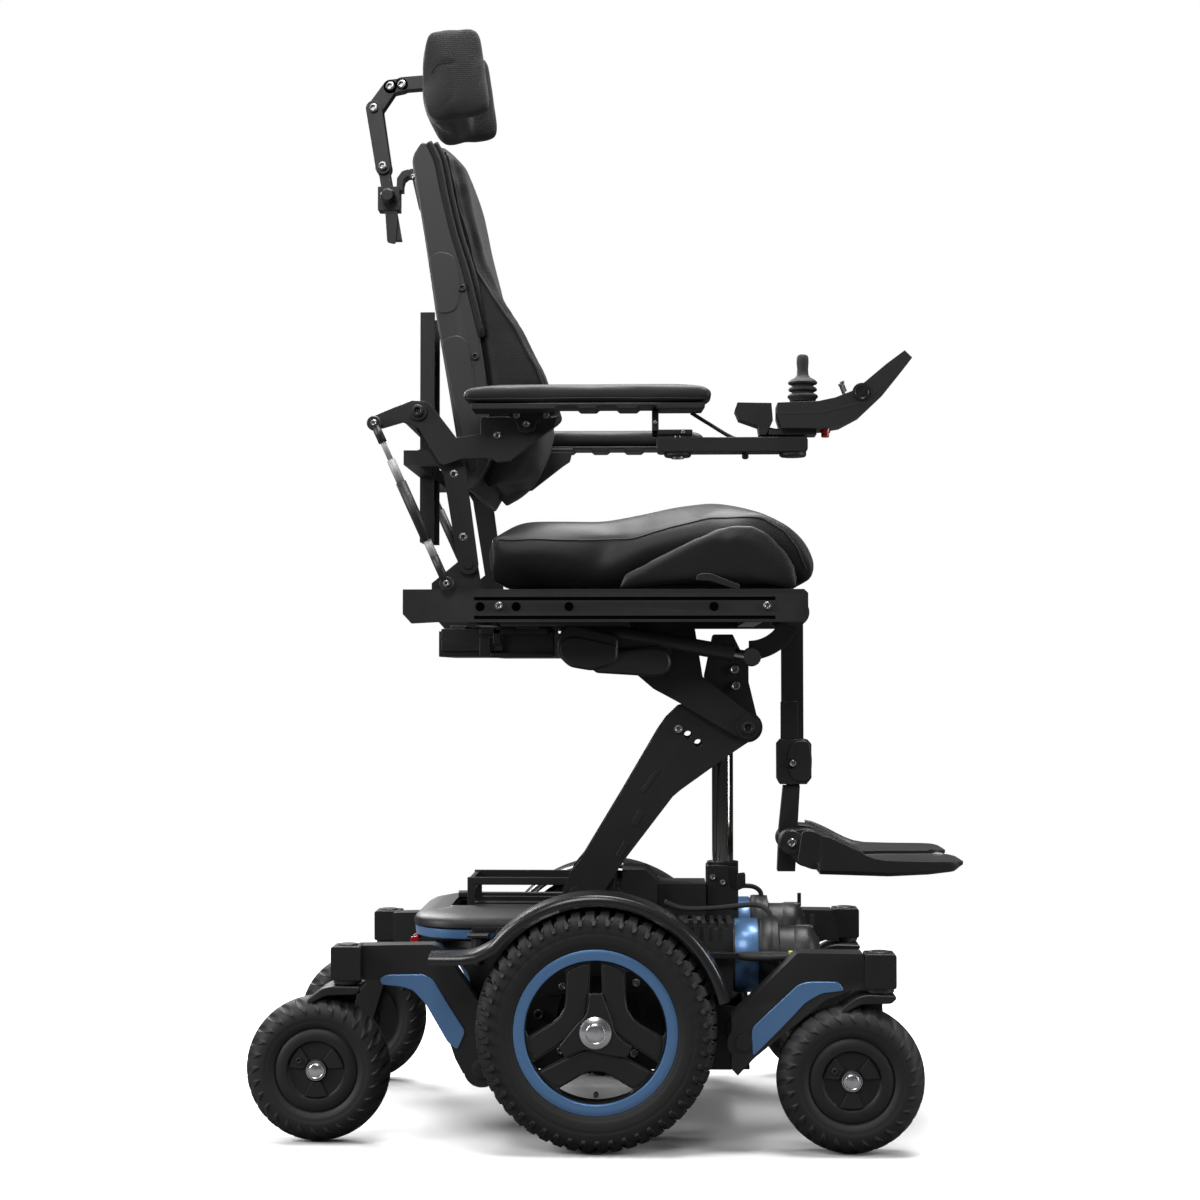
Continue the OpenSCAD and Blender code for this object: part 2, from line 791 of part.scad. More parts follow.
// Arm that swings the joystick aside, with an eye at each end
module swing_arm() color("black") {
    y = -joystick_y;
    z = [1021, 1046];
    difference() {
        union() {
            cylinder_at(swing_pivot_x, y, z[0], 20, z[1] - z[0]);
            cylinder_at(mount_pivot_x, y, z[0], 20, z[1] - z[0]);
            block([swing_pivot_x, y - 13, z[0] + 2], [mount_pivot_x, y + 13, z[1] - 2]);
        }
        cylinder_at(swing_pivot_x, y, z[0] - 1, 6 + run_gap, 30);
        cylinder_at(mount_pivot_x, y, z[0] - 1, 6 + run_gap, 30);
    }
}

// Joystick console with its swept nose, mounting plate, pin and switch box
module joystick_housing() color("black") {
    y = -joystick_y;
    slab(y - 32, y + 32) polygon([
        [266, 1093], [326, 1095], [350, 1100], [376, 1110], [394, 1123], [425, 1149], [452, 1169],
        [463, 1158], [453, 1145], [425, 1110], [388, 1075], [360, 1060], [331, 1055], [272, 1055],
        [266, 1074]
    ]);
    block([254, y - 20, 1047], [324, y + 20, 1056]);
    cylinder_at(mount_pivot_x, y, 1016, 6, 34);
    block([240, y - 12, 1047], [256, y + 12, 1053]);
    slab(y - 20, y + 20) polygon([
        [204, 1084], [208, 1095], [258, 1094], [260, 1068], [250, 1047], [240, 1047], [238, 1060],
        [210, 1070]
    ]);
}

// Cross-pin block that lets the stick lean fore and aft
module joystick_gimbal() color("gray") {
    half = 3.5;
    bar_y([stick_x, stick_z], 2, -joystick_y - 6, -joystick_y + 6);
    translate([stick_x, -joystick_y, stick_z]) cube(2 * half, center = true);
}

// Stick with a ribbed boot and a waisted knob
module joystick_stick() color("black") translate([stick_x, -joystick_y, stick_z]) difference() {
    union() {
        for (i = [0 : 2]) translate([0, 0, 1 + i * 8]) cylinder(r1 = 15 - i, r2 = 9 - i, h = 8);
        translate([0, 0, 24]) cylinder(r = 5, h = 14);
        translate([0, 0, 37]) cylinder(r1 = 7, r2 = 9.5, h = 16);
        translate([0, 0, 53]) cylinder(r1 = 9.5, r2 = 7.5, h = 13);
    }
    translate([0, 0, -1]) cylinder(r1 = 13, r2 = 8, h = 6);
    translate([0, 0, 4.5]) cylinder(r = 6.5, h = 5);
}

// Pair of mode switches on the console's nose
module toggles() color("gray") for (s = [-1, 1]) {
    bar_xz([367, 1111], [362, 1124], -joystick_y + s * 13, 2.5);
    translate([362, -joystick_y + s * 13, 1125]) sphere(r = 3.5, $fn = 32);
}

// ---- headrest ----

module headrest_post() color("black") {
    headrest_bar(0, 1400, post_top[1] - 8);
    difference() {
        slab(-10, 10) {
            translate(post_top) circle(r = 13);
            strap(post_top, post_top + [2, -14], 9, 7);
        }
        bar_y(post_top, 5 + run_gap, -11, 11);
    }
}

// Forked link between the post and the pad arm
module headrest_link() color("black") {
    both_sides() difference() {
        slab(11, 16) strap(post_top, link_top, 12, 13);
        bar_y(link_top, 5 + run_gap, 10, 17);
    }
    bar_y(post_top, 5, -16, 16);
}

// Head pad on its bent arm
module headrest_pad() color("black") {
    slab(-10, 10) {
        strap(link_top, [-345, 1651], 13, 12);
        strap([-345, 1651], pad_stem, 12, 11);
        strap(pad_stem, [-286, 1655], 9, 9);
    }
    bar_y(link_top, 5, -18, 18);
    slab(-94, 94) polygon([
        [-284, 1588], [-284, 1702], [-274, 1713], [-240, 1717], [-228, 1716], [-222, 1700], [-226, 1592],
        [-238, 1574], [-266, 1571]
    ]);
    both_sides() slab(62, 95) polygon([
        [-230, 1716], [-205, 1716], [-195, 1708], [-189, 1666], [-184, 1630], [-179, 1600], [-184, 1588],
        [-204, 1581], [-238, 1575]
    ]);
}

// ---- legrest ----

// Gearmotor and outer tube of the legrest actuator
module leg_actuator() color("black") {
    y = -131;
    d = (rod_end - actuator_tail) / norm(rod_end - actuator_tail);
    difference() {
        union() {
            bar_xz(actuator_tail, actuator_tail + d * 262, y, 12.5);
            slab(y - 11, y + 11) polygon([
                [-40, 757], [0, 768], [85, 752], [112, 738], [110, 716], [84, 704], [40, 694], [6, 704],
                [-50, 722], [-66, 740], [-58, 752]
            ]);
        }
        bar_xz(actuator_tail + d * 40, actuator_tail + d * 270, y, 8 + run_gap);
    }
    bar_y(actuator_tail, 5, -150, -112);
}

module leg_rod() color("silver") {
    y = -131;
    d = (rod_end - actuator_tail) / norm(rod_end - actuator_tail);
    bar_xz(actuator_tail + d * 120, rod_end - d * 8, y, 8);
    slab(y - 9, y + 9) translate(rod_end) circle(r = 13);
}

// Knee shaft, curved lever and square hanger tube of the legrest, with its height clamp
module legrest_tube() color("black") {
    bar_y(knee, 10, -158, 158);
    slab(-119, -109) {
        translate(knee) circle(r = 20);
        translate(rod_end) circle(r = 15);
        intersection() {
            translate([231, 801]) difference() {
                circle(r = 84);
                circle(r = 54);
            }
            polygon([[231, 801], [231, 690], [330, 690], [330, 801]]);
        }
    }
    difference() {
        union() {
            slab(-16, 16) polygon([[288, 792], [288, 560], [322, 560], [322, 800], [310, 806]]);
            slab(-24, 24) polygon([
                [284, 520], [280, 528], [280, 584], [286, 591], [328, 591], [334, 584], [334, 530],
                [326, 520]
            ]);
            slab(-25.5, 25.5) translate([303, 553]) circle(r = 9);
        }
        block([295, -11, 500], [316, 11, 770]);
    }
}

// Inner tube that slides out of the hanger, with the footplate shaft across its lower end
module legrest_slide() color("black") {
    block([295.3, -10.7, 505], [315.7, 10.7, 720]);
    slab(-16, 16) polygon([[290, 517], [316, 517], [308, 381], [280, 381], [283, 450]]);
    bar_y(foot_pivot, 8, -62, 62);
    both_sides() bar_y(foot_pivot, 20, 16, 24);
}

// Folding footplate: eye, sloping heel web and tread plate
module footplate(side) color("black") on_side(side) {
    inner = 26;
    heel = 92;
    outer = 175;
    difference() {
        slab(inner, inner + 34) {
            translate(foot_pivot) circle(r = 20);
            polygon([
                [292, 448], [312, 452], [330, 452], [368, 436], [416, 416], [416, 392], [328, 391], [312, 394],
                [296, 410]
            ]);
        }
        bar_y(foot_pivot, 8 + run_gap, inner - 1, inner + 36);
    }
    // The heel part is narrow, so that it passes between the motors when the seat is lowered
    slab(inner, heel) polygon([[330, 400], [372, 408], [450, 409], [450, 390], [330, 391]]);
    slab(inner, heel) polygon([[306, 398], [322, 440], [330, 440], [316, 398]]);
    slab(heel - 6, heel) polygon([[306, 400], [314, 452], [330, 452], [416, 414], [440, 392], [330, 391]]);
    slab(inner, outer) polygon([
        [338, 391], [338, 402], [372, 408], [450, 409], [545, 411], [footplate_tip, 404], [548, 396], [440, 388]
    ]);
    slab(outer - 6, outer) polygon([[338, 391], [338, 449], [346, 446], [416, 414], [440, 392]]);
}

// ---- assembly ----

placed() base_frame();
placed() base_cover();
placed() fenders();
placed() batteries();
placed() gear_motors();
placed() lift_rails();
placed() column_socket();
placed() tie_down_loops();
placed() shock_absorbers();
placed() drive_tyre(-1);  // drive_tyre_right
placed() drive_tyre(1);  // drive_tyre_left
placed() drive_rim(-1);  // drive_rim_right
placed() drive_rim(1);  // drive_rim_left
placed() suspension_arm_front(-1);  // arm_front_right
placed() suspension_arm_front(1);  // arm_front_left
placed() suspension_arm_rear(-1);  // arm_rear_right
placed() suspension_arm_rear(1);  // arm_rear_left
placed() fork(front_swivel[0], front_caster_y, -1);  // fork_front_right
placed() fork(front_swivel[0], front_caster_y, 1);  // fork_front_left
placed() fork(rear_swivel[0], rear_caster_y, -1);  // fork_rear_right
placed() fork(rear_swivel[0], rear_caster_y, 1);  // fork_rear_left
placed() caster_tyre(front_swivel[0], front_caster_y, -1);  // caster_tyre_front_right
placed() caster_tyre(front_swivel[0], front_caster_y, 1);  // caster_tyre_front_left
placed() caster_tyre(rear_swivel[0], rear_caster_y, -1);  // caster_tyre_rear_right
placed() caster_tyre(rear_swivel[0], rear_caster_y, 1);  // caster_tyre_rear_left
placed() caster_hub(front_swivel[0], front_caster_y, -1);  // caster_hub_front_right
placed() caster_hub(front_swivel[0], front_caster_y, 1);  // caster_hub_front_left
placed() caster_hub(rear_swivel[0], rear_caster_y, -1);  // caster_hub_rear_right
placed() caster_hub(rear_swivel[0], rear_caster_y, 1);  // caster_hub_rear_left
placed() column_stage();
placed() lift_carrier();
placed() lift_arm();
placed() seat_frame();
placed() seat_cushion();
placed() thigh_supports();
placed() seat_module();
placed() seat_actuators();
placed() back_frame();
placed() back_shell();
placed() back_cushion();
placed() arm_link(-1);  // arm_link_right
placed() arm_link(1);  // arm_link_left
placed() arm_lever(-1);  // arm_lever_right
placed() arm_lever(1);  // arm_lever_left
placed() armrest(-1);  // armrest_right
placed() armrest(1);  // armrest_left
placed() headrest_post();
placed() headrest_link();
placed() headrest_pad();
placed() leg_actuator();
placed() leg_rod();
placed() legrest_tube();
placed() legrest_slide();
placed() footplate(-1);  // footplate_right
placed() footplate(1);  // footplate_left
placed() swing_arm();
placed() joystick_housing();
placed() joystick_gimbal();
placed() joystick_stick();
placed() toggles();
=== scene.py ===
"""Looks of the power wheelchair: materials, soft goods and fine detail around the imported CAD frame."""

import json
import math

import bmesh
import bpy
import numpy as np
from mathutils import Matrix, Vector
from mathutils.bvhtree import BVHTree

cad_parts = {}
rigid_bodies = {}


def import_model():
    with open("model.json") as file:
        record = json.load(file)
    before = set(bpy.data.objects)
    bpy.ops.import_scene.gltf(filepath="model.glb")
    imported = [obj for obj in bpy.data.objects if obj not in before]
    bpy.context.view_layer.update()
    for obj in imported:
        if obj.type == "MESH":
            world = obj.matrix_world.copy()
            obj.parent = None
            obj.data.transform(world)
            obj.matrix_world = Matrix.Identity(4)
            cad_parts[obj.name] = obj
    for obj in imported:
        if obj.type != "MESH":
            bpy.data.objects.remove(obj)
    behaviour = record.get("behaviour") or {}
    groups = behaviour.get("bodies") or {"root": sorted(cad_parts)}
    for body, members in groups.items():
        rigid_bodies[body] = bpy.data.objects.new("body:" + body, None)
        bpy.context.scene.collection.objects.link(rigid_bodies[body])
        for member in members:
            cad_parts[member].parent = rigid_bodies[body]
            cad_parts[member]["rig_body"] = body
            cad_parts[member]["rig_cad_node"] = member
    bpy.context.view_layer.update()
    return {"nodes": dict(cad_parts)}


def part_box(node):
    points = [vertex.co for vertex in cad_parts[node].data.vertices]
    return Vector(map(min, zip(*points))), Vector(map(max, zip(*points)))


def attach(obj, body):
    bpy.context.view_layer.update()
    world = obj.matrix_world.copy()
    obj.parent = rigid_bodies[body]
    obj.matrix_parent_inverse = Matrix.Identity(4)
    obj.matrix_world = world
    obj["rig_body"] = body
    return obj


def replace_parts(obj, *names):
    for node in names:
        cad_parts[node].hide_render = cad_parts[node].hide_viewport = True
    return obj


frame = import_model()
NODES = frame["nodes"]
MM = 0.001
MIDDLE_X = 15.5  # places below are measured from the drive axle, this far behind the frame's origin
SIDES = (("right", -1), ("left", 1))
AXLES = ("front", "rear")

# Driving dimensions in mm
WHEEL_Y, WHEEL_Z = 287, 177  # middle of the drive wheel
CASTER_PLACES = {"front": (370, 288), "rear": (-417, 230)}  # x and distance from the middle of each caster wheel
CASTER_Z = 108
TRAIL = 43  # from a caster's axle forward to its stem
FENDER_R = 196  # about the drive wheel's axis
MOTOR_Y, MOTOR_Z = 153, 267  # motor axis
ARM_Y, STICK_X = -275, 305  # joystick
PAD_INNER, PAD_OUTER = 256, 324  # sides of an arm pad
PLATE_INNER, PLATE_OUTER, PLATE_HEEL, PLATE_TIP = 27, 174.5, 336, 556  # edges of a footplate
THIRDS = (30, 150, 270)  # degrees, the spokes of a wheel


# ---------------------------------------------------------------- materials

class Nodes:
    """Short hand for building one node tree."""

    def __init__(self, name):
        self.mat = bpy.data.materials.new(name)
        self.mat.use_nodes = True
        self.tree = self.mat.node_tree
        self.shader = self.tree.nodes["Principled BSDF"]
        self.coords = self.tree.nodes.new("ShaderNodeTexCoord").outputs["Object"]

    def add(self, kind, inputs=None, **settings):
        node = self.tree.nodes.new(kind)
        for key, value in settings.items():
            setattr(node, key, value)
        for key, value in (inputs or {}).items():
            self.link(value, node.inputs[key])
        return node

    def link(self, value, socket):
        if isinstance(value, bpy.types.NodeSocket):
            self.tree.links.new(value, socket)
        else:
            socket.default_value = value

    def shade(self, **inputs):
        """Sets shader inputs by name, with _ for each space."""
        for key, value in inputs.items():
            self.link(value, self.shader.inputs[key.replace("_", " ")])

    def stretched(self, scale):
        return self.add("ShaderNodeMapping", {"Vector": self.coords, "Scale": scale}).outputs["Vector"]

    def noise(self, scale, detail=3.0, vector=None):
        inputs = {"Vector": vector or self.coords, "Scale": scale, "Detail": detail}
        return self.add("ShaderNodeTexNoise", inputs).outputs["Fac"]

    def cells(self, scale, feature="F1", vector=None):
        inputs = {"Vector": vector or self.coords, "Scale": scale}
        return self.add("ShaderNodeTexVoronoi", inputs, feature=feature).outputs["Distance"]

    def span(self, value, low, high):
        """Maps 0..1 to low..high."""
        inputs = {"Value": value, "To Min": low, "To Max": high}
        return self.add("ShaderNodeMapRange", inputs).outputs["Result"]

    def maths(self, op, a, b):
        return self.add("ShaderNodeMath", {0: a, 1: b}, operation=op).outputs[0]

    def mix(self, factor, a, b):
        node = self.add("ShaderNodeMix", {0: factor, 6: (*a, 1.0), 7: (*b, 1.0)}, data_type="RGBA")
        return node.outputs[2]

    def bump(self, height, distance):
        self.shade(Normal=self.add("ShaderNodeBump", {"Height": height, "Distance": distance}).outputs["Normal"])

    def worn(self, base, edge, amount):
        """Base colour that pales along convex edges and blotches slightly elsewhere."""
        point = self.add("ShaderNodeNewGeometry").outputs["Pointiness"]
        edge_mask = self.add("ShaderNodeMapRange", {"Value": point, "From Min": 0.52, "From Max": 0.62})
        scuffs = self.span(self.noise(60.0, 5.0), 0.2, 1.0)
        factor = self.maths("MULTIPLY", self.maths("MULTIPLY", edge_mask.outputs[0], scuffs), amount)
        blotch = self.maths("MULTIPLY", self.noise(9.0, 4.0), 0.12)
        self.shade(Base_Color=self.mix(self.maths("ADD", factor, blotch), base, edge))


def surface(name, base, edge, rough, grain_scale, grain_depth, wear=0.5, coat=0.0, specular=0.38):
    """A worn, slightly uneven surface with a fine moulded or sprayed grain."""
    n = Nodes(name)
    n.worn(base, edge, wear)
    n.shade(Roughness=n.span(n.noise(14.0, 6.0), *rough), Specular_IOR_Level=specular, Coat_Weight=coat,
            Coat_Roughness=0.2)
    n.bump(n.noise(grain_scale, 2.0), grain_depth)
    return n.mat


def leather(name):
    """Soft coated upholstery: fine pebble grain over broad, shallow wrinkles, with a sheen."""
    n = Nodes(name)
    n.worn((0.004, 0.004, 0.0045), (0.014, 0.014, 0.015), 0.3)
    n.shade(Roughness=n.span(n.noise(10.0, 5.0), 0.4, 0.52), Specular_IOR_Level=0.28, Sheen_Weight=0.08)
    pebbles = n.cells(850.0, "SMOOTH_F1")
    wrinkles = n.maths("MULTIPLY", n.noise(22.0, 4.0), 1.5)
    n.bump(n.maths("ADD", pebbles, wrinkles), 0.0002)
    return n.mat


def knit(name, base, edge):
    """Spacer knit: rows of small loops, matt, with a soft sheen at grazing angles."""
    n = Nodes(name)
    n.worn(base, edge, 0.3)
    n.shade(Roughness=0.82, Sheen_Weight=0.06, Sheen_Roughness=0.5, Specular_IOR_Level=0.3)
    loops = n.cells(620.0, "F1", n.stretched((1.0, 1.0, 0.7)))
    rows = n.add("ShaderNodeTexWave", {"Vector": n.coords, "Scale": 95.0, "Distortion": 0.6}, bands_direction="Z")
    n.bump(n.maths("ADD", loops, n.maths("MULTIPLY", rows.outputs["Fac"], 0.4)), 0.0005)
    return n.mat


def brushed(name, colour, rough, along, scratch=1.0):
    """Metal with fine lines drawn along one axis."""
    n = Nodes(name)
    scale = tuple(4.0 if i == along else 900.0 for i in range(3))
    lines = n.noise(1.0, 4.0, n.stretched(scale))
    n.shade(Metallic=1.0, Base_Color=(*colour, 1.0), Roughness=n.span(lines, rough * 0.7, rough * 1.4))
    n.bump(lines, 0.00002 * scratch)
    return n.mat


def flake_paint(name, colour, dark):
    """Satin metallic paint with fine flakes."""
    n = Nodes(name)
    flakes = n.maths("MULTIPLY", n.cells(2600.0), 0.7)
    n.shade(Base_Color=n.mix(flakes, dark, colour), Metallic=0.45, Roughness=n.span(n.noise(20.0, 4.0), 0.3, 0.42),
            Coat_Weight=0.3)
    n.bump(n.noise(1500.0, 2.0), 0.00003)
    return n.mat


def lens(name, colour):
    """Moulded lens with fine prisms behind a smooth front."""
    n = Nodes(name)
    shadow = tuple(c * 0.4 for c in colour)
    n.shade(Base_Color=n.mix(n.noise(300.0, 2.0), colour, shadow), Roughness=0.15, Coat_Weight=0.8)
    prisms = n.add("ShaderNodeTexWave", {"Vector": n.coords, "Scale": 160.0}, bands_direction="Y")
    n.bump(prisms.outputs["Fac"], 0.0003)
    return n.mat


BLACK = (0.008, 0.008, 0.0085)
GREY_EDGE = (0.03, 0.03, 0.032)
M = {
    "powder": surface("powder_coat", BLACK, GREY_EDGE, (0.36, 0.5), 1400.0, 0.00006, wear=0.7),
    "plastic": surface("moulded_plastic", (0.007, 0.007, 0.0075), GREY_EDGE, (0.42, 0.56), 2200.0, 0.00007),
    "shell": surface("shell_plastic", (0.022, 0.022, 0.023), (0.06, 0.06, 0.06), (0.4, 0.5), 1900.0, 0.00006),
    "gloss": surface("gloss_plastic", (0.009, 0.009, 0.01), GREY_EDGE, (0.2, 0.3), 500.0, 0.00002, coat=0.3),
    "motor": surface("motor_paint", (0.014, 0.014, 0.015), GREY_EDGE, (0.36, 0.5), 1200.0, 0.00008, wear=0.6),
    "case": surface("battery_case", (0.05, 0.05, 0.055), (0.12, 0.12, 0.12), (0.5, 0.6), 900.0, 0.00008),
    "rubber": surface("soft_rubber", (0.014, 0.014, 0.014), (0.04, 0.04, 0.04), (0.6, 0.75), 1100.0, 0.0001),
    "tyre": surface("tyre_rubber", (0.008, 0.008, 0.008), (0.03, 0.03, 0.03), (0.52, 0.72), 700.0, 0.00015),
    "foam": surface("skinned_foam", (0.006, 0.006, 0.0065), (0.02, 0.02, 0.02), (0.5, 0.62), 1300.0, 0.0001),
    "leather": leather("upholstery"),
    "fabric": knit("spacer_knit", (0.007, 0.007, 0.0075), (0.02, 0.02, 0.021)),
    "fabric_grey": knit("grey_knit", (0.016, 0.016, 0.017), (0.035, 0.035, 0.035)),
    "steel": brushed("brushed_steel", (0.3, 0.3, 0.31), 0.34, 1),
    "chrome": brushed("ground_column", (0.34, 0.33, 0.32), 0.12, 2, 0.3),
    "silver": brushed("satin_silver", (0.7, 0.7, 0.72), 0.22, 0, 0.5),
    "blue": flake_paint("blue_paint", (0.12, 0.25, 0.47), (0.07, 0.16, 0.33)),
    "red": lens("red_lens", (0.55, 0.01, 0.01)),
    "yellow": surface("yellow_tag", (0.6, 0.55, 0.05), (0.8, 0.8, 0.4), (0.4, 0.5), 900.0, 0.00005),
    # painted shade: a near-black colour with no reflection, standing in for the shade inside slots and holes
    "void": surface("shadow_gap", (0.001, 0.001, 0.001), (0.002, 0.002, 0.002), (0.85, 0.95), 900.0, 0.00001,
                    specular=0.0),
    "pale": surface("pale_band", (0.24, 0.24, 0.25), (0.4, 0.4, 0.4), (0.35, 0.45), 900.0, 0.00003),
}


# ---------------------------------------------------------------- mesh tools

def new_piece(name, verts, faces, mat, body):
    """Object from vertices in metres, riding on a CAD body."""
    mesh = bpy.data.meshes.new(name)
    verts = np.array(verts, float) - (MIDDLE_X * MM, 0, 0)
    mesh.from_pydata(verts.tolist(), [], faces)
    mesh.update()
    obj = bpy.data.objects.new(name, mesh)
    bpy.context.scene.collection.objects.link(obj)
    bm = bmesh.new()
    bm.from_mesh(mesh)
    bmesh.ops.remove_doubles(bm, verts=bm.verts, dist=1e-6)
    bmesh.ops.recalc_face_normals(bm, faces=bm.faces)
    bm.to_mesh(mesh)
    bm.free()
    mesh.shade_smooth()
    mesh.materials.append(M[mat])
    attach(obj, body)
    return obj


def apply_modifiers(obj):
    """Bakes the modifiers into the mesh."""
    bpy.context.view_layer.update()
    done = bpy.data.meshes.new_from_object(obj.evaluated_get(bpy.context.evaluated_depsgraph_get()))
    obj.modifiers.clear()
    obj.data = done


def round_edges(obj, width, segments=3, angle=32):
    """Rounds every edge sharper than angle, as a moulded or machined part has."""
    bevel = obj.modifiers.new("round", "BEVEL")
    bevel.width = width * MM
    bevel.segments = segments
    bevel.limit_method = "ANGLE"
    bevel.angle_limit = math.radians(angle)
    bevel.use_clamp_overlap = True
    normals = obj.modifiers.new("normals", "WEIGHTED_NORMAL")
    normals.keep_sharp = False
    obj.data.shade_smooth()


def smooth_by_angle(obj, angle=40):
    """Flat faces stay crisp and curved ones shade smoothly."""
    obj.data.shade_smooth()
    obj.data.set_sharp_from_angle(angle=math.radians(angle))


def rounded(points, radius=6.0, steps=4):
    """Outline with each corner replaced by a short curve."""
    out = []
    count = len(points)
    for i, p in enumerate(points):
        p = np.array(p, float)
        a, b = np.array(points[i - 1], float) - p, np.array(points[(i + 1) % count], float) - p
        la, lb = np.linalg.norm(a), np.linalg.norm(b)
        cut = min(radius, la / 2.2, lb / 2.2)
        start, end = p + a / la * cut, p + b / lb * cut
        for k in range(steps + 1):
            t = k / steps
            out.append((1 - t) ** 2 * start + 2 * t * (1 - t) * p + t ** 2 * end)
    return out


def prism(name, outline, y0, y1, mat, body, edge=1.0, segments=3):
    """Plate with an [x, z] outline in mm, between two y values."""
    n = len(outline)
    verts = [Vector((p[0], y, p[1])) * MM for y in (y0, y1) for p in outline]
    faces = [list(range(n)), list(range(2 * n - 1, n - 1, -1))]
    faces += [[i, (i + 1) % n, n + (i + 1) % n, n + i] for i in range(n)]
    obj = new_piece(name, verts, faces, mat, body)
    if edge:
        round_edges(obj, edge, segments)
    else:
        smooth_by_angle(obj)
    return obj


def quads(rows, columns, wrap_rows=False, wrap_columns=False):
    """Faces of a grid of points stored row after row."""
    k = np.arange(rows if wrap_rows else rows - 1)[:, None]
    i = np.arange(columns if wrap_columns else columns - 1)[None, :]
    a, b, j = k * columns, (k + 1) % rows * columns, (i + 1) % columns
    return np.stack([a + i, b + i, b + j, a + j], axis=-1).reshape(-1, 4).tolist()


AXES = {"x": ((0, 1, 0), (0, 0, 1), (1, 0, 0)), "y": ((1, 0, 0), (0, 0, 1), (0, 1, 0)),
        "z": ((1, 0, 0), (0, 1, 0), (0, 0, 1))}


def turned_mesh(centre, axis, profile, steps=64, closed=False, shape=None):
    """Vertices and faces of a turned part: profile is (radius, height along the axis) in mm."""
    u, v, w = (np.array(d) for d in AXES[axis])
    angles = np.linspace(0, 2 * math.pi, steps, endpoint=False)[:, None]
    r, h = (np.tile(column, (steps, 1)) for column in np.array(profile, float).T)
    if shape:
        r, h = shape(angles, r, h)
    around = np.cos(angles)[..., None] * u + np.sin(angles)[..., None] * v
    verts = (np.array(centre, float) + around * r[..., None] + h[..., None] * w).reshape(-1, 3) * MM
    return verts.tolist(), quads(steps, len(profile), True, closed)


def turned(name, centre, axis, profile, mat, body, steps=64, closed=False, shape=None):
    """Turned part about an axis through centre."""
    obj = new_piece(name, *turned_mesh(centre, axis, profile, steps, closed, shape), mat, body)
    smooth_by_angle(obj)
    return obj


def tube(name, points, radius, mat, body, sides=10, closed=False, samples=8):
    """Round cord through points in mm, on a smooth path."""
    pts = [Vector(p) for p in points]
    pts = pts[-1:] + pts + pts[:2] if closed else pts[:1] + pts + pts[-1:]
    path = []
    for p0, p1, p2, p3 in zip(pts, pts[1:], pts[2:], pts[3:]):
        for k in range(samples):
            t = k / samples
            path.append(0.5 * (2 * p1 + (p2 - p0) * t + (2 * p0 - 5 * p1 + 4 * p2 - p3) * t * t
                               + (3 * p1 - p0 - 3 * p2 + p3) * t ** 3))
    if not closed:
        path.append(pts[-1])
    verts = []
    total = len(path)
    normal = Vector((0.3, 0.2, 1)).normalized()
    for i, p in enumerate(path):
        ahead = path[(i + 1) % total] if (closed or i + 1 < total) else p
        behind = path[i - 1] if (closed or i) else p
        tangent = (ahead - behind).normalized()
        normal = (normal - tangent * normal.dot(tangent)).normalized()
        side = tangent.cross(normal)
        for k in range(sides):
            a = 2 * math.pi * k / sides
            verts.append((p + (normal * math.cos(a) + side * math.sin(a)) * radius) * MM)
    faces = quads(total, sides, closed, True)
    if not closed:
        faces += [list(range(sides)), list(range((total - 1) * sides, total * sides))[::-1]]
    return new_piece(name, verts, faces, mat, body)


def join(name, objs):
    """Merges pieces of one material and body into one."""
    bm = bmesh.new()
    for o in objs:
        apply_modifiers(o)
        bm.from_mesh(o.data)
    mesh = objs[0].data
    bm.to_mesh(mesh)
    bm.free()
    for o in objs[1:]:
        bpy.data.objects.remove(o)
    objs[0].name = name
    mesh.name = name
    return objs[0]


SCREW = np.array([(0.001, 0.15), (0.42, 0.15), (0.5, 0.62), (0.62, 0.7), (0.86, 0.66), (1, 0.48), (1, -0.3),
                  (0.001, -0.3)])


def screw_heads(name, body, places, radius, sides=(-1, 1), mat="steel"):
    """Socket-head screws that face outwards: each place is (x, distance from the middle, z)."""
    verts, faces = [], []
    for s in sides:
        for x, y, z in places:
            v, f = turned_mesh((x, s * y, z), "y", SCREW * (radius, radius * s), 24)
            faces += (np.array(f) + len(verts)).tolist()
            verts += v
    smooth_by_angle(new_piece(name, verts, faces, mat, body), 35)


def finish_cad(node, mat, edge):
    """Gives a carried-over CAD part its material and rounded edges."""
    obj = NODES[node]
    obj.data.materials.clear()
    obj.data.materials.append(M[mat])
    if "custom_normal" in obj.data.attributes:
        obj.data.attributes.remove(obj.data.attributes["custom_normal"])
    weld = obj.modifiers.new("weld", "WELD")
    weld.merge_threshold = 0.00002
    flat = obj.modifiers.new("flat", "DECIMATE")
    flat.decimate_type = "DISSOLVE"
    flat.angle_limit = math.radians(0.5)
    round_edges(obj, edge, 2, 35)


# ---------------------------------------------------------------- soft goods

def positions(mesh):
    co = np.empty(len(mesh.vertices) * 3, np.float32)
    mesh.vertices.foreach_get("co", co)
    return co.reshape(-1, 3)


def move(mesh, inwards):
    """Moves each vertex inwards along its normal."""
    normals = np.empty(len(mesh.vertices) * 3, np.float32)
    mesh.vertex_normals.foreach_get("vector", normals)
    co = positions(mesh) - normals.reshape(-1, 3) * inwards[:, None]
    mesh.vertices.foreach_set("co", co.astype(np.float32).ravel())
    mesh.update()


def soften(obj, mat, body, shrink, voxel):
    """Remeshes a closed form evenly, eases its corners and draws it in."""
    remesh = obj.modifiers.new("even", "REMESH")
    remesh.mode = "VOXEL"
    remesh.voxel_size = voxel
    ease = obj.modifiers.new("ease", "SMOOTH")
    ease.iterations = 6
    ease.factor = 0.5
    apply_modifiers(obj)
    mesh = obj.data
    mesh.materials.clear()
    mesh.materials.append(M[mat])
    move(mesh, np.full(len(mesh.vertices), shrink * MM))
    mesh.shade_smooth()
    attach(obj, body)


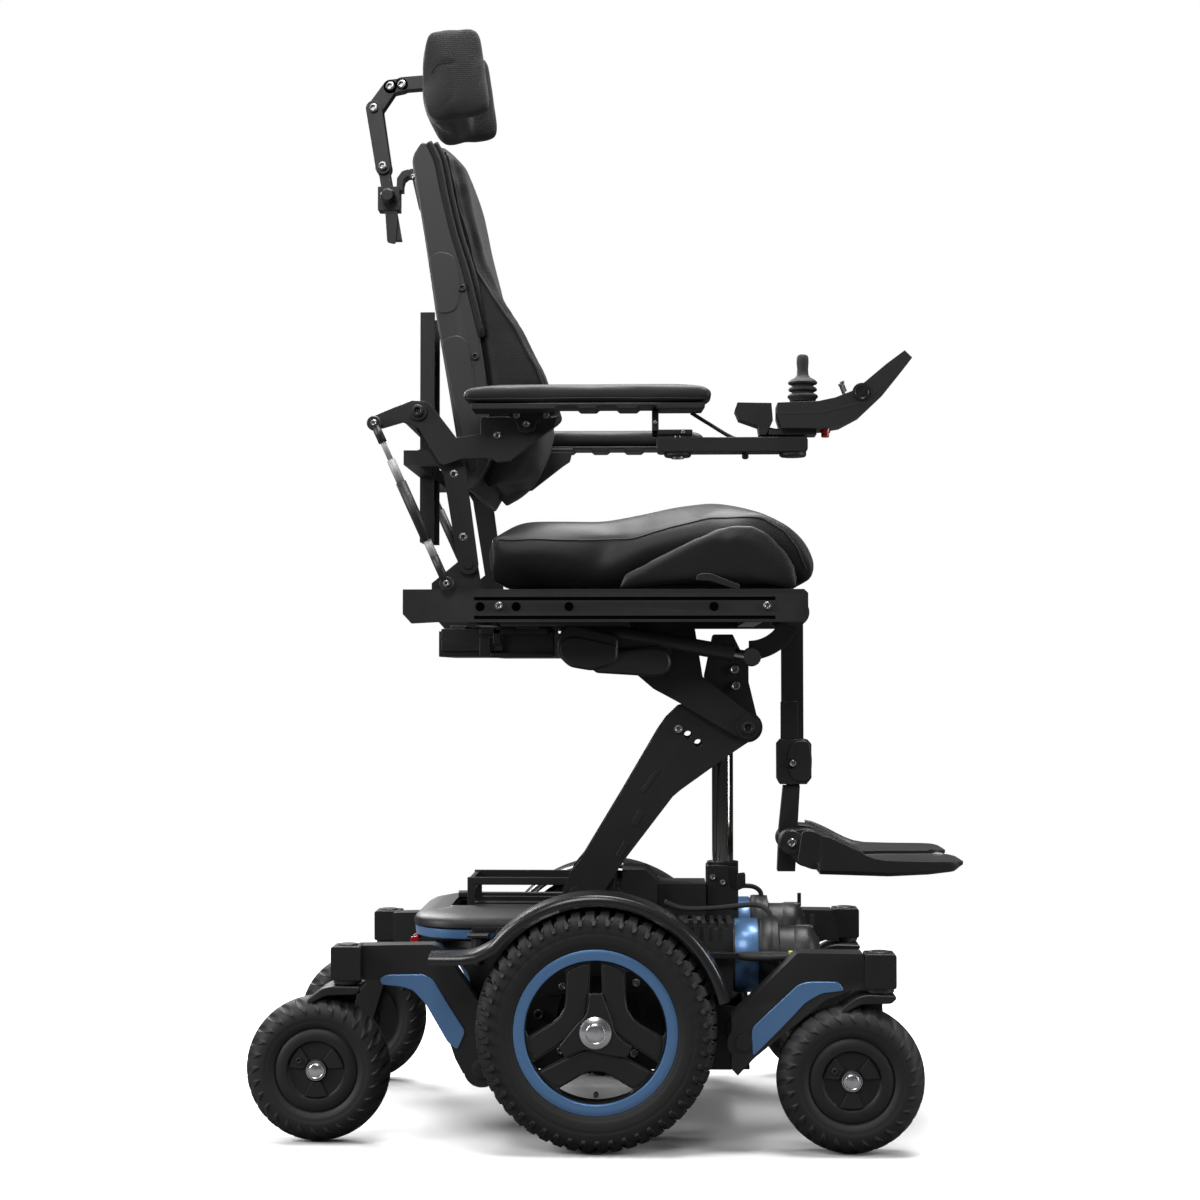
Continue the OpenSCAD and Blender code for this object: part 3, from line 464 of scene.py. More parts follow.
def fit(obj, low, high):
    """Stretches a soft piece so that its box is low to high, in metres."""
    co = positions(obj.data).astype(float)
    a, b = co.min(0), co.max(0)
    co = (co - a) / (b - a) * (np.array(high, float) - low) + low
    obj.data.vertices.foreach_set("co", co.astype(np.float32).ravel())
    obj.data.update()


CLOTH_PRESSURE, CLOTH_FRAMES = 4.0, 20


def inflate(obj, cap, ease_steps, flat_below=None):
    """Swells a cushion as cloth under pressure, holds each point to cap mm, and keeps its base flat."""
    rest = positions(obj.data).astype(float)
    cloth = obj.modifiers.new("cloth", "CLOTH")
    cloth.settings.use_pressure = True
    cloth.settings.uniform_pressure_force = CLOTH_PRESSURE
    cloth.settings.effector_weights.gravity = 0
    cloth.settings.tension_stiffness = cloth.settings.compression_stiffness = 12
    cloth.settings.bending_stiffness = 2
    cloth.point_cache.frame_start = 1
    cloth.point_cache.frame_end = CLOTH_FRAMES
    for f in range(1, CLOTH_FRAMES + 1):
        bpy.context.scene.frame_set(f)
    done = obj.evaluated_get(bpy.context.evaluated_depsgraph_get()).data
    moved = positions(done) - rest
    obj.modifiers.remove(cloth)
    bpy.context.scene.frame_set(1)
    length = np.linalg.norm(moved, axis=1)
    scale = np.minimum(1.0, cap * MM / np.maximum(length, 1e-9))
    rest = rest + moved * scale[:, None]
    if flat_below is not None:
        rest[:, 2] = np.maximum(rest[:, 2], flat_below * MM)
    obj.data.vertices.foreach_set("co", rest.astype(np.float32).ravel())
    obj.data.update()
    ease = obj.modifiers.new("ease", "SMOOTH")
    ease.iterations = ease_steps
    fine = obj.modifiers.new("fine", "SUBSURF")
    fine.levels = 1
    fine.render_levels = 1
    apply_modifiers(obj)
    obj.data.shade_smooth()


def padded(name, node, mat, body, shrink, voxel, cap, ease_steps, flat_below=None):
    """A CAD cushion remade as a swollen soft piece that fills the same box."""
    obj = NODES[node].copy()
    obj.data = NODES[node].data.copy()
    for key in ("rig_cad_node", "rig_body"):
        if key in obj:
            del obj[key]
    obj.name = name
    obj.parent = None
    bpy.context.scene.collection.objects.link(obj)
    soften(obj, mat, body, shrink, voxel)
    inflate(obj, cap, ease_steps, flat_below)
    fit(obj, *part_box(node))
    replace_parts(obj, node)
    return obj


def press_channel(obj, points, width, depth):
    """Presses a sewn channel into a soft piece along a path of points in mm."""
    path = dense_path(points, 3.0)
    mesh = obj.data
    co = positions(mesh)
    nearest = np.full(len(co), 1e9)
    for p in path:
        nearest = np.minimum(nearest, np.linalg.norm(co - p, axis=1))
    push = depth * MM * np.exp(-((nearest / (width * MM)) ** 2))
    move(mesh, push)


def dense_path(points, step):
    """Points in metres every step mm along a polyline given in mm."""
    out = []
    for a, b in zip(points[:-1], points[1:]):
        a, b = (np.array(a, float) - (MIDDLE_X, 0, 0)) * MM, (np.array(b, float) - (MIDDLE_X, 0, 0)) * MM
        count = max(2, int(np.linalg.norm(b - a) / (step * MM)))
        out += [a + (b - a) * k / count for k in range(count)]
    out.append((np.array(points[-1], float) - (MIDDLE_X, 0, 0)) * MM)
    return out


def cord_on(name, obj, points, radius, mat, body, sink=0.3):
    """Welt cord laid on a soft piece: each point is drawn to the nearest place on its surface."""
    bpy.context.view_layer.update()
    tree = BVHTree.FromObject(obj, bpy.context.evaluated_depsgraph_get())
    placed = []
    for p in dense_path(points, 12.0):
        place, normal, _, _ = tree.find_nearest(Vector(p))
        placed.append((place + normal * radius * MM * (1 - 2 * sink)) / MM + Vector((MIDDLE_X, 0, 0)))
    tube(name, placed, radius, mat, body, 8, samples=3)


# ---------------------------------------------------------------- carried-over CAD parts

LOOKS = {
    ("powder", 0.8): ["base_frame", "shock_absorbers", "headrest_link"],
    ("powder", 1.0): ["lift_rails", "lift_carrier", "seat_frame", "headrest_post"],
    ("powder", 1.2): ["lift_arm", "back_frame", "legrest_slide"],
    ("powder", 1.5): ["column_socket", "tie_down_loops"],
    ("powder", 2.2): ["legrest_tube"],
    ("powder", 2.5): [f"fork_{axle}_{side}" for axle in AXLES for side, _ in SIDES],
    ("powder", 3.2): [f"arm_lever_{side}" for side, _ in SIDES],
    ("powder", 4.0): [f"arm_{axle}_{side}" for axle in AXLES for side, _ in SIDES],
    ("plastic", 4.0): ["seat_module", "joystick_housing"],
    ("gloss", 1.2): [f"drive_rim_{side}" for side, _ in SIDES],
    ("motor", 2.0): ["gear_motors", "seat_actuators"],
    ("motor", 2.5): ["leg_actuator"],
    ("case", 3.0): ["batteries"],
    ("chrome", 0.4): ["column_stage"],
    ("chrome", 0.8): ["leg_rod"],
    ("steel", 0.3): ["joystick_gimbal", "toggles"],
}


# ---------------------------------------------------------------- tyres and wheels

def resample(profile, step):
    """Even points along a (radius, height) profile, with inward normals and distance from its middle."""
    pts = np.array(profile, float)
    gaps = np.linalg.norm(np.diff(pts, axis=0), axis=1)
    along = np.concatenate([[0], np.cumsum(gaps)])
    at = np.linspace(0, along[-1], int(along[-1] / step) + 1)
    r, h = np.interp(at, along, pts[:, 0]), np.interp(at, along, pts[:, 1])
    for _ in range(3):
        r[1:-1] = (r[:-2] + 2 * r[1:-1] + r[2:]) / 4
        h[1:-1] = (h[:-2] + 2 * h[1:-1] + h[2:]) / 4
    dr, dh = np.gradient(r), np.gradient(h)
    size = np.hypot(dr, dh)
    return r, h, -dh / size, dr / size, at - along[-1] / 2


def ramp(x):
    """Smooth 0..1 step."""
    x = np.clip(x, 0.0, 1.0)
    return x * x * (3 - 2 * x)


def drive_groove(a, t):
    """Depth of the drive tyre's tread pattern at angle a and distance t from the crown."""
    reach = abs(t)
    turn = a * 50 / (2 * math.pi) + np.where(t > 0, 0.5, 0.0)
    stepped = 0.12 * np.tanh((34 - reach) / 1.2)
    notch = abs((turn + stepped) % 1 - 0.5)
    width = 0.2 - 0.05 * ramp((reach - 40) / 12)
    depth = 9.0 * ramp((width - notch) / 0.04) * ramp((reach - 9) / 2) * ramp((50 - reach) / 3)
    depth = np.maximum(depth, 6.0 * ramp((2.8 - abs(reach - 11)) / 1.0))
    sipe = abs((a * 50 / (2 * math.pi) + 0.25 + 0.12 * np.tanh(t / 2)) % 1 - 0.5)
    depth = np.maximum(depth, 6.0 * ramp((0.12 - sipe) / 0.04) * ramp((12 - reach) / 2))
    return depth - 0.9 * ramp((1.4 - abs(reach - 63)) / 0.9) - 0.6 * ramp((1.2 - abs(reach - 80)) / 0.9)


def caster_groove(a, t):
    """Depth of the caster tyre's leaf-shaped grooves, with a raised ring on the sidewall."""
    reach = abs(t)
    s = np.clip((reach - 2) / 42, 0, 1)
    turn = a * 28 / (2 * math.pi) + 0.8 * s + np.where(t > 0, 0.5, 0.0)
    leaf = np.sin(math.pi * s) ** 0.7
    depth = 4.4 * leaf * ramp((0.22 * leaf + 0.03 - abs(turn % 1 - 0.5)) / 0.08)
    return depth - 0.7 * ramp((1.5 - abs(reach - 53)) / 1.0)


def tyre(name, centre, half_profile, groove, body, replaces, steps, step):
    """Tyre turned about its axle with a tread pattern cut into it."""
    profile = [(r, -h) for r, h in half_profile] + [(r, h) for r, h in half_profile[::-1][1:]]
    r, h, nr, nh, t = resample(profile, step)

    def cut(a, radius, height):
        depth = groove(a, t[None, :])
        return radius - abs(nr) * depth, height - nh * depth

    verts, faces = turned_mesh(centre, "y", list(zip(r, h)), steps, True, cut)
    obj = new_piece(name, verts, faces, "tyre", body)
    smooth_by_angle(obj, 42)
    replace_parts(obj, replaces)
    return obj


DRIVE_HALF = [(118, 33), (122, 36), (128, 38.4), (136, 39.6), (145, 40), (153, 39.4), (160, 38),
              (166, 35.2), (170.5, 31.5), (173.6, 27), (175.4, 20), (176.5, 11), (177, 0)]
CASTER_HALF = [(60.5, 23), (62, 26), (68, 30), (76, 31.8), (84, 31.8), (91, 29.6), (97, 25.6),
               (102, 19.8), (105.5, 13), (107.4, 6.5), (108, 0)]


def turned_outline(points, degrees, centre=(0, WHEEL_Z)):
    """Rotates (x, z) points about a centre."""
    c, s = math.cos(math.radians(degrees)), math.sin(math.radians(degrees))
    return [(centre[0] + x * c - z * s, centre[1] + x * s + z * c) for x, z in points]


def disc(name, x, z, y, s, profile, mat, body, steps=48):
    """Turned part across the chair; the profile's height is measured outwards from y."""
    return turned(name, (x, s * y, z), "y", [(r, s * h) for r, h in profile], mat, body, steps)


def link_outline(a, b, ra, rb):
    """Round-ended strap outline between two points."""
    d = np.array(b, float) - np.array(a, float)
    heading = math.atan2(d[1], d[0])
    out = []
    for centre, r, start in ((a, ra, heading + math.pi / 2), (b, rb, heading - math.pi / 2)):
        for k in range(13):
            t = start + math.pi * k / 12
            out.append((centre[0] + r * math.cos(t), centre[1] + r * math.sin(t)))
    return out


BAND = [(80, 55), (62, 23), (56, 9), (56, -9), (62, -23), (80, -55), (70, -70), (57.5, -82), (38, -42), (28, -20),
        (24, -8), (24, 8), (28, 20), (38, 42), (57.5, 82), (70, 70)]
LOBE = [(56, -9.5), (57, 0), (56, 9.5), (40, 10), (28, 13), (18.5, 19), (14.5, 25)]
for side, s in SIDES:
    wheel = f"drive_wheel_{side}"
    tyre(f"drive_tyre_treaded_{side}", (0, s * WHEEL_Y, WHEEL_Z), DRIVE_HALF, drive_groove, wheel,
         f"drive_tyre_{side}", 1200, 2.2)
    disc(f"rim_trim_ring_{side}", 0, WHEEL_Z, 317, s,
         [(103.0, 0), (103.2, 3.8), (104.6, 5.4), (111, 6.2), (117, 5.8), (119.6, 4.8), (120, 0)], "blue", wheel, 160)
    disc(f"rim_bead_ring_{side}", 0, WHEEL_Z, 316, s,
         [(101.2, -8), (101.4, 2), (102, 3), (102.6, 2)], "gloss", wheel, 128)
    bands = [prism(f"spoke_band_{side}_{a}", rounded(turned_outline(BAND, a), 9, 5), s * 312, s * 319,
                   "plastic", wheel, 2.2) for a in THIRDS]
    join(f"spoke_bands_{side}", bands)
    lobes = [p for a in (90, 210, 330) for p in turned_outline(LOBE, a)]
    prism(f"hub_cap_{side}", rounded(lobes, 4, 4), s * 315, s * 322.5, "plastic", wheel, 2.0)
    disc(f"hub_disc_{side}", 0, WHEEL_Z, 321, s,
         [(0.01, 6.6), (8, 6.3), (13, 5.5), (13.9, 4.7), (14.8, 5.2), (20, 3.8), (23, 2.2), (23.6, 0)],
         "silver", wheel, 96)
    disc(f"valve_stem_{side}", 0, WHEEL_Z - 93, 288, s,
         [(0.01, 24), (2.8, 24), (2.8, 15), (3.8, 14), (3.8, 7), (2.6, 5), (2.6, 0)], "rubber", wheel, 16)
    screw_heads(f"gearbox_bolts_{side}", "base",
                [(-54, 193, 224), (57, 193, 230), (54, 193, 124), (-57, 193, 128)], 6, [s])
    screw_heads(f"gearbox_plug_{side}", "base", [(-90, 193, 182)], 8, [s], "powder")
    prism(f"gearbox_bracket_{side}", rounded([(-78, 210), (-44, 212), (-38, 238), (-60, 258), (-80, 246)], 6),
          s * 190, s * 192.6, "powder", "base", 0.8)
    prism(f"gearbox_bracket_front_{side}", rounded([(36, 216), (66, 212), (80, 236), (52, 262), (38, 246)], 6),
          s * 190, s * 192.6, "powder", "base", 0.8)

# Rounded yoke over the crown of each fork, sloping down behind the wheel
YOKE = [(21, 231), (22, 226), (15, 219), (-30, 217.5), (-52, 205), (-58, 207), (-56, 213), (-36, 228), (-22, 232)]
CASTERS = [(axle, side, s, *CASTER_PLACES[axle]) for axle in AXLES for side, s in SIDES]
for axle, side, s, x, y in CASTERS:
    tag = f"{axle}_{side}"
    wheel = f"caster_wheel_{tag}"
    tyre(f"caster_tyre_grooved_{tag}", (x, s * y, CASTER_Z), CASTER_HALF, caster_groove, wheel,
         f"caster_tyre_{tag}", 504, 2.4)
    hub = disc(f"caster_hub_dished_{tag}", x, CASTER_Z, y, s,
               [(6, -28), (28, -28), (31, -24), (61.6, -23), (61.6, 24), (58.5, 27), (48, 28), (44, 27.4),
                (42.4, 24), (40.5, 22), (17, 21.4), (16, 23), (15, 27), (13, 28), (9, 27.6), (8, 26), (0.01, 26)],
               "plastic", wheel, 96)
    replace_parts(hub, f"caster_hub_{tag}")
    facets = []
    for a in THIRDS:
        wedge = turned_outline([(17, -7), (38, -17), (40, 0), (38, 17), (17, 7)], a, (x, CASTER_Z))
        facets.append(prism(f"facet_{tag}_{a}", rounded(wedge, 3, 3), s * (y + 20), s * (y + 25),
                            "plastic", wheel, 1.5))
    join(f"caster_facets_{tag}", facets)
    bolt_x, bolt_z = turned_outline([(29, 0)], 150, (x, CASTER_Z))[0]
    screw_heads(f"caster_bolt_{tag}", wheel, [(bolt_x, y + 25.2, bolt_z)], 4.6, [s], "powder")
    disc(f"caster_disc_{tag}", x, CASTER_Z, y + 26, s,
         [(0.01, 3.6), (7, 3.2), (9.6, 2.6), (10.3, 2.0), (11, 2.4), (14.6, 1.4), (15.6, -1)], "silver", wheel)
    swivel_x = x + TRAIL
    block = turned_outline([(-22.5, 240), (-22.5, 290), (22.5, 290), (22.5, 240)], 0, (swivel_x, 0))
    prism(f"swivel_block_{tag}", rounded(block, 4, 3), s * (y - 23), s * (y + 23), "powder",
          f"suspension_{tag}", 11.0, 6)
    turned(f"swivel_lid_{tag}", (swivel_x, s * y, 0), "z", [(15, 288), (15, 291), (13.6, 292.4), (0.01, 292.6)],
           "plastic", f"suspension_{tag}", 48)
    yoke = turned_outline(YOKE, 0, (swivel_x, 0))
    prism(f"fork_yoke_{tag}", rounded(yoke, 7, 4), s * (y - 49), s * (y + 24), "powder", f"caster_fork_{tag}", 3.0)
    disc(f"axle_nut_{tag}", x, CASTER_Z, -(y - 47.5), -s, [(0.01, 6), (7, 6), (9.5, 4.4), (10, 0)], "powder",
         f"caster_fork_{tag}", 6)


# ---------------------------------------------------------------- fenders

def fender(side, s):
    """Domed guard over the drive wheel: a swept shell that narrows to a tip in front and flattens into a tail."""
    path = []
    for k in range(57):
        a = math.radians(13 + (141 - 13) * k / 56)
        inner = 232 + 62 * float(ramp((34 - math.degrees(a)) / 26))
        path.append((FENDER_R * math.cos(a), WHEEL_Z + FENDER_R * math.sin(a), inner))
    path += [(-164, 294, 232), (-178, 287.5, 233), (-196, 285, 236), (-218, 284.5, 242), (-243, 284.5, 250)]
    pts = np.array([p[:2] for p in path])
    along = np.gradient(pts, axis=0)
    out = np.stack([along[:, 1], -along[:, 0]], axis=1)
    out /= np.linalg.norm(out, axis=1)[:, None]
    verts = []
    across = [0, 0.03, 0.1, 0.2, 0.35, 0.5, 0.65, 0.8, 0.9, 0.95, 0.98, 1.0]
    crown = [-7, -3, 0, 2, 3.6, 4, 3.6, 2, 0.6, 1.2, -1.5, -9]
    for (x, z, inner), n in zip(path, out):
        outer = [(u, c, 0.0) for u, c in zip(across, crown)]
        for u, c, taper in outer + [(u, c - 3.2, 1.5 - 3 * u) for u, c, _ in outer[::-1]]:
            y = inner + (322 - inner) * u + taper
            verts.append(Vector((x + n[0] * c, s * y, z + n[1] * c)) * MM)
    loop = 2 * len(across)
    last = (len(path) - 1) * loop
    faces = quads(len(path), loop, False, True)
    for start in (0, last):
        end = start + loop - 1
        faces += [[start + j, start + j + 1, end - 1 - j, end - j] for j in range(len(across) - 1)]
    guard = new_piece(f"fender_guard_{side}", verts, faces, "gloss", "base")
    smooth_by_angle(guard, 50)
    for k, x in enumerate((-60, 40)):
        strut = [(x, 312.4), (x + 24, 312.4), (x + 24, 354), (x, 354)]
        prism(f"fender_strut_{side}_{k}", strut, s * 185, s * 190.8, "powder", "base", 1.0)
    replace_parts(guard, "fenders")


# ---------------------------------------------------------------- suspension arms and motors

FRONT_INSERT = [(228, 140), (271, 183), (305, 219), (328, 232), (362, 236), (352, 249), (308, 249), (294, 245),
                (228, 183), (226, 170)]
REAR_INSERT = [(-326, 240), (-316, 246), (-260, 247), (-246, 239), (-197, 162), (-209, 134), (-224, 146),
               (-258, 204), (-276, 223), (-293, 228), (-324, 231)]
for side, s in SIDES:
    prism(f"front_arm_inset_{side}", rounded(FRONT_INSERT, 6), s * 298, s * 301.6, "blue",
          f"suspension_front_{side}", 1.6)
    prism(f"rear_arm_inset_{side}", rounded(REAR_INSERT, 6), s * 227, s * 231, "blue",
          f"suspension_rear_{side}", 1.6)
    disc(f"rear_arm_cap_{side}", -173, 106, 229, s, [(0.01, 3), (12, 2.8), (15, 2), (16, -2)],
         "plastic", f"suspension_rear_{side}")
    slots = [prism(f"cover_slot_{side}_{k}", link_outline((142 + 14 * k, 296), (142 + 14 * k, 314), 2.6, 2.6),
                   s * 196, s * 199.4, "gloss", "base", 0.3) for k in range(4)]
    join(f"cover_slots_{side}", slots)
    turned(f"motor_band_{side}", (0, s * MOTOR_Y, MOTOR_Z), "x",
           [(50, 206), (55.2, 206), (55.8, 207), (55.8, 240), (55.2, 241), (50, 241)], "blue", "base", 96, True)
    turned(f"motor_cap_{side}", (0, s * MOTOR_Y, MOTOR_Z), "x",
           [(45.2, 296), (45.8, 298), (45.8, 314), (44, 321), (38, 328), (28, 333), (14, 336), (0.01, 336.6)],
           "motor", "base", 96)
    turned(f"motor_collar_{side}", (0, s * MOTOR_Y, MOTOR_Z), "x",
           [(52, 245), (57.5, 245), (58.6, 247), (58.6, 262), (52, 272), (46, 274), (40, 274)], "motor", "base", 96)
    tube(f"motor_cable_{side}", [(262, s * 150, 318), (258, s * 148, 334), (236, s * 140, 342),
                                      (180, s * 132, 336), (130, s * 124, 334), (100, s * 120, 344)],
         4.0, "rubber", "base")
    lamp = [(-292, 276), (-280, 276), (-280, 291), (-292, 290)]
    prism(f"tail_lamp_{side}", rounded(lamp, 3, 3), s * 92, s * 132, "red", "base", 2.0)
    fender(side, s)
    tube(f"tie_down_webbing_{side}",
         [(214, s * 232, 276), (222, s * 244, 276), (252, s * 248, 276), (282, s * 244, 276), (293, s * 232, 275),
          (282, s * 220, 276), (252, s * 216, 276), (222, s * 220, 276)], 5.4, "rubber", "base", 10, True, 6)
    prism(f"tie_down_tag_{side}", rounded([(284, 268), (284, 284), (297, 283), (297, 269)], 2, 3),
          s * 226, s * 239, "yellow", "base", 1.0)


def around_tail(inset, front, steps=14):
    """Plan outline of the shroud from its right front corner round the tail to its left front corner."""
    r = 90 - inset
    right = [(x, -94 - r) for x in np.linspace(front, -190, 12)]
    for k in range(steps + 1):
        a = math.radians(90 * k / steps)
        right.append((-200 - r * math.sin(a), -94 - r * math.cos(a)))
    straight = [(-200 - r, y) for y in np.linspace(-80, 80, 9)]
    return right + straight + [(x, -y) for x, y in right[::-1]]


def rings(name, rows, mat):
    """Skin through rows of points that close on themselves, and the last row on the first."""
    verts = np.array(rows).reshape(-1, 3) * MM
    obj = new_piece(name, verts, quads(len(rows), len(rows[0]), True, True), mat, "base")
    smooth_by_angle(obj, 35)
    return obj


LID = [(24, 287), (21, 303), (4, 306.5), (0, 310), (0, 317), (2.5, 321), (11, 325.4), (30, 329.4), (56, 332)]


def sill(front, z):
    """Front edge of a lid row, left to right: it dips between the sides, where the lowered lift arm passes."""
    low = min(z - 1, 289)
    return [(front, 88, z), (front, 84, low), (front, -84, low), (front, -88, z)]


rows = [[(x, y, z) for x, y in around_tail(inset, 118 - 0.4 * inset)] + sill(118 - 0.4 * inset, z) for inset, z in LID]
rows += [[(float(np.clip(x, -256, 96)), float(np.clip(y, -90, 90)), z) for x, y in around_tail(56, 96)] + sill(96, z)
         for z in (334, 322)]
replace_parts(rings("shroud_lid", rows, "plastic"), "base_cover")
stripe = [[(x, y, z) for x, y in around_tail(inset, -160)] for inset, z in
          ((1.5, 306.8), (1.5, 305), (2.5, 294), (4, 292.5), (12, 292.5), (12, 306.8))]
stripe = [[(x + (306.8 - z) * 0.6 * float(x > -165), y, z) for x, y, z in row] for row in stripe]
rings("shroud_stripe", stripe, "blue")


# ---------------------------------------------------------------- seat lift and seat

screw_heads("socket_bolts", "base", [(176, 41, 374), (192, 41, 366)], 4.6)
for side, s in SIDES:
    prism(f"socket_lug_{side}", rounded([(168, 330), (168, 392), (200, 392), (204, 356), (216, 350), (216, 330)], 3, 3),
          s * 27, s * 40, "powder", "base", 2.0)
prism("socket_spigot", rounded([(214, 352), (214, 378), (228, 380), (228, 358)], 3, 3), -38, -18, "powder", "base", 2.0)
screw_heads("lift_arm_bolts", "lower_lift_arm", [(122, 76.6, 609)], 7)
screw_heads("elbow_bolts", "carrier", [(230, 96, 612)], 11, mat="powder")
screw_heads("carrier_bolts", "carrier", [(210, 58.6, 703), (212, 58.6, 677)], 7.4)
screw_heads("seat_rail_screws", "seat", [(-147, 250.6, 797), (253, 250.6, 797)], 6)
for side, s in SIDES:
    latch = [(146, 835), (150, 845), (168, 846), (214, 828), (211, 820), (168, 834)]
    prism(f"thigh_pad_latch_{side}", rounded(latch, 4), s * 236, s * 246, "plastic", "seat", 1.6)
    prism(f"lift_arm_web_{side}", rounded([(62, 512), (86, 546), (92, 542), (68, 508)], 2, 2), s * 75.5, s * 77.2,
          "plastic", "lower_lift_arm", 0.6)
    # Thin near-black sheets with no reflection paint the shade inside the rail's slots and holes
    for k, z in enumerate((779.4, 807.4)):
        prism(f"rail_slot_shade_{side}_{k}", [(-184, z - 2), (265, z - 2), (265, z + 3), (-184, z + 3)], s * 248.4, s * 250.3,
              "void", "seat", 0)
    for k, x in enumerate((-175, -121, -42, 174)):
        disc(f"rail_hole_shade_{side}_{k}", x, 796, 248.6, s, [(0.01, 1.8), (5.6, 1.8), (6.4, 2.2), (7, 1.2), (7, 0)], "void",
             "seat", 24)
    for k, (x, z) in enumerate(((58, 470), (34, 420))):
        slot = turned_outline([(-14, -5), (14, -5), (14, 5), (-14, 5)], 61, (x, z))
        prism(f"lift_arm_label_slot_{side}_{k}", rounded(slot, 3, 3), s * 75.4, s * 76.9,
              "plastic", "lower_lift_arm", 0.6)
gearbox = [(-54, 771), (-40, 773), (24, 757), (30, 748), (29, 718), (20, 708), (-10, 700), (-46, 706), (-66, 726),
           (-66, 746)]
prism("leg_gearbox", rounded(gearbox, 9, 5), -103, -158, "motor", "leg_actuator_body", 6.0, 4)
gearbox_cover = [(-50, 751), (-36, 753), (26, 740), (26, 720), (18, 711), (-10, 703), (-44, 709), (-60, 726),
                 (-60, 742)]
prism("leg_gearbox_cover", rounded(gearbox_cover, 8, 5), -150, -160.6, "motor", "leg_actuator_body", 2.4, 3)
leg_motor = [(-14, 713), (20, 732), (86, 739), (104, 732), (112, 716), (108, 700), (92, 691), (-8, 697)]
prism("leg_motor", rounded(leg_motor, 10, 5), -110, -155, "motor", "leg_actuator_body", 9.0, 4)
prism("battery_box", rounded([(-247, 731), (-247, 748), (-249, 750), (-249, 753), (-247, 755), (-247, 766), (-150, 766),
                              (-150, 731)], 2, 2), -124, 124, "motor", "seat", 3.0)
RIBS = [(-187, -170, 722, 752), (-166, -154, 742, 766), (-187, -80, 757, 766), (-170, -72, 721, 728)]
for k, (x0, x1, z0, z1) in enumerate(RIBS):
    prism(f"module_rib_{k}", [(x0, z0), (x1, z0), (x1, z1), (x0, z1)], -128, 128, "plastic", "seat", 1.4)
turned("column_gaiter", (193, 0, 0), "z",
       [(17.4, 584), (21, 585), (21.6, 588), (21.6, 592), (20, 594), (13.6, 594.5)], "rubber", "column_middle", 64)

seat = padded("seat_cushion_padded", "seat_cushion", "leather", "seat", 9, 0.006, 22, 44, 823)
SEAT_WELT = [(-160, 890), (-150, 908), (-99, 912), (11, 911), (48, 920), (103, 934), (158, 943), (205, 945),
             (250, 936), (284, 914), (304, 884), (316, 850)]
for side, s in SIDES:
    path = [(x, s * 222, z) for x, z in SEAT_WELT]
    press_channel(seat, path, 5, 2.0)
    cord_on(f"seat_welt_{side}", seat, path, 1.1, "rubber", "seat")
padded("thigh_pads", "thigh_supports", "leather", "seat", 1.5, 0.004, 5, 8)


# ---------------------------------------------------------------- back

back = padded("back_cushion_padded", "back_cushion", "fabric", "back", 7, 0.005, 14, 14)
BOLSTER_RIM = [(-238, 1490), (-216, 1440), (-208, 1394), (-186, 1325), (-153, 1267), (-123, 1224), (-90, 1160),
               (-82, 1133), (-100, 1104)]
FRONT_LINE = [(-91, 1104), (-118, 1140), (-150, 1200), (-182, 1300), (-206, 1400), (-222, 1480)]
for side, s in SIDES:
    press_channel(back, [(x + 6, s * 189, z) for x, z in FRONT_LINE], 7, 5.0)
    rim = [(x, s * (212 if z == 1490 else 213), z) for x, z in BOLSTER_RIM]
    cord_on(f"back_welt_{side}", back, rim, 1.9, "leather", "back")
press_channel(back, [(-96, -185, 1122), (-96, 185, 1122)], 7, 5.0)
press_channel(back, [(-186, -185, 1310), (-186, 185, 1310)], 6, 3.0)
SHELL = [(-271, 1508), (-286, 1485), (-265, 1361), (-247, 1239), (-227, 1123), (-209, 1013), (-197, 974), (-189, 974),
         (-161, 1022), (-168, 1133), (-180, 1209), (-204, 1306), (-223, 1367), (-238, 1429), (-248, 1479), (-262, 1508)]
shell = prism("shell_moulding", rounded(SHELL, 14, 4), -207, 207, "shell", "back", 11.0, 5)
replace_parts(shell, "back_shell")
UPPER_PANEL = [(-259, 1330), (-244, 1340), (-224, 1336), (-214, 1324), (-210, 1297), (-211, 1261), (-219, 1246),
               (-244, 1242)]
LOWER_PANEL = [(-240, 1205), (-214, 1212), (-200, 1203), (-193, 1180), (-186, 1120), (-178, 1050), (-184, 1010),
               (-196, 1000)]
for side, s in SIDES:
    for k, outline in enumerate((UPPER_PANEL, LOWER_PANEL)):
        prism(f"shell_panel_{side}_{k}", rounded(outline, 14, 4), s * 203, s * 208.4, "shell", "back", 2.2)
    for k, (out, y) in enumerate(((3, 203), (12, 197))):
        roll = [(x + out, s * y, z) for x, z in SHELL[:9:-1]]
        tube(f"back_roll_{side}_{k}", roll[:6], 5.2, "fabric", "back", 12, False, 5)
    screw_heads(f"shell_bolts_{side}", "back", [(-207, 206.4, 1283), (-187, 206.4, 1178)], 6, [s], "powder")
    screw_heads(f"strap_bolts_{side}", "back", [(-216, 235.2, 996), (-202, 235.2, 901)], 6.5, [s])
    screw_heads(f"lever_bolts_{side}", f"armrest_lever_{side}", [(-149, 252.9, 1052)], 5, [s])
    screw_heads(f"lever_pin_{side}", "back", [(-268, 259.4, 1089)], 9, [s], "powder")


# ---------------------------------------------------------------- armrests

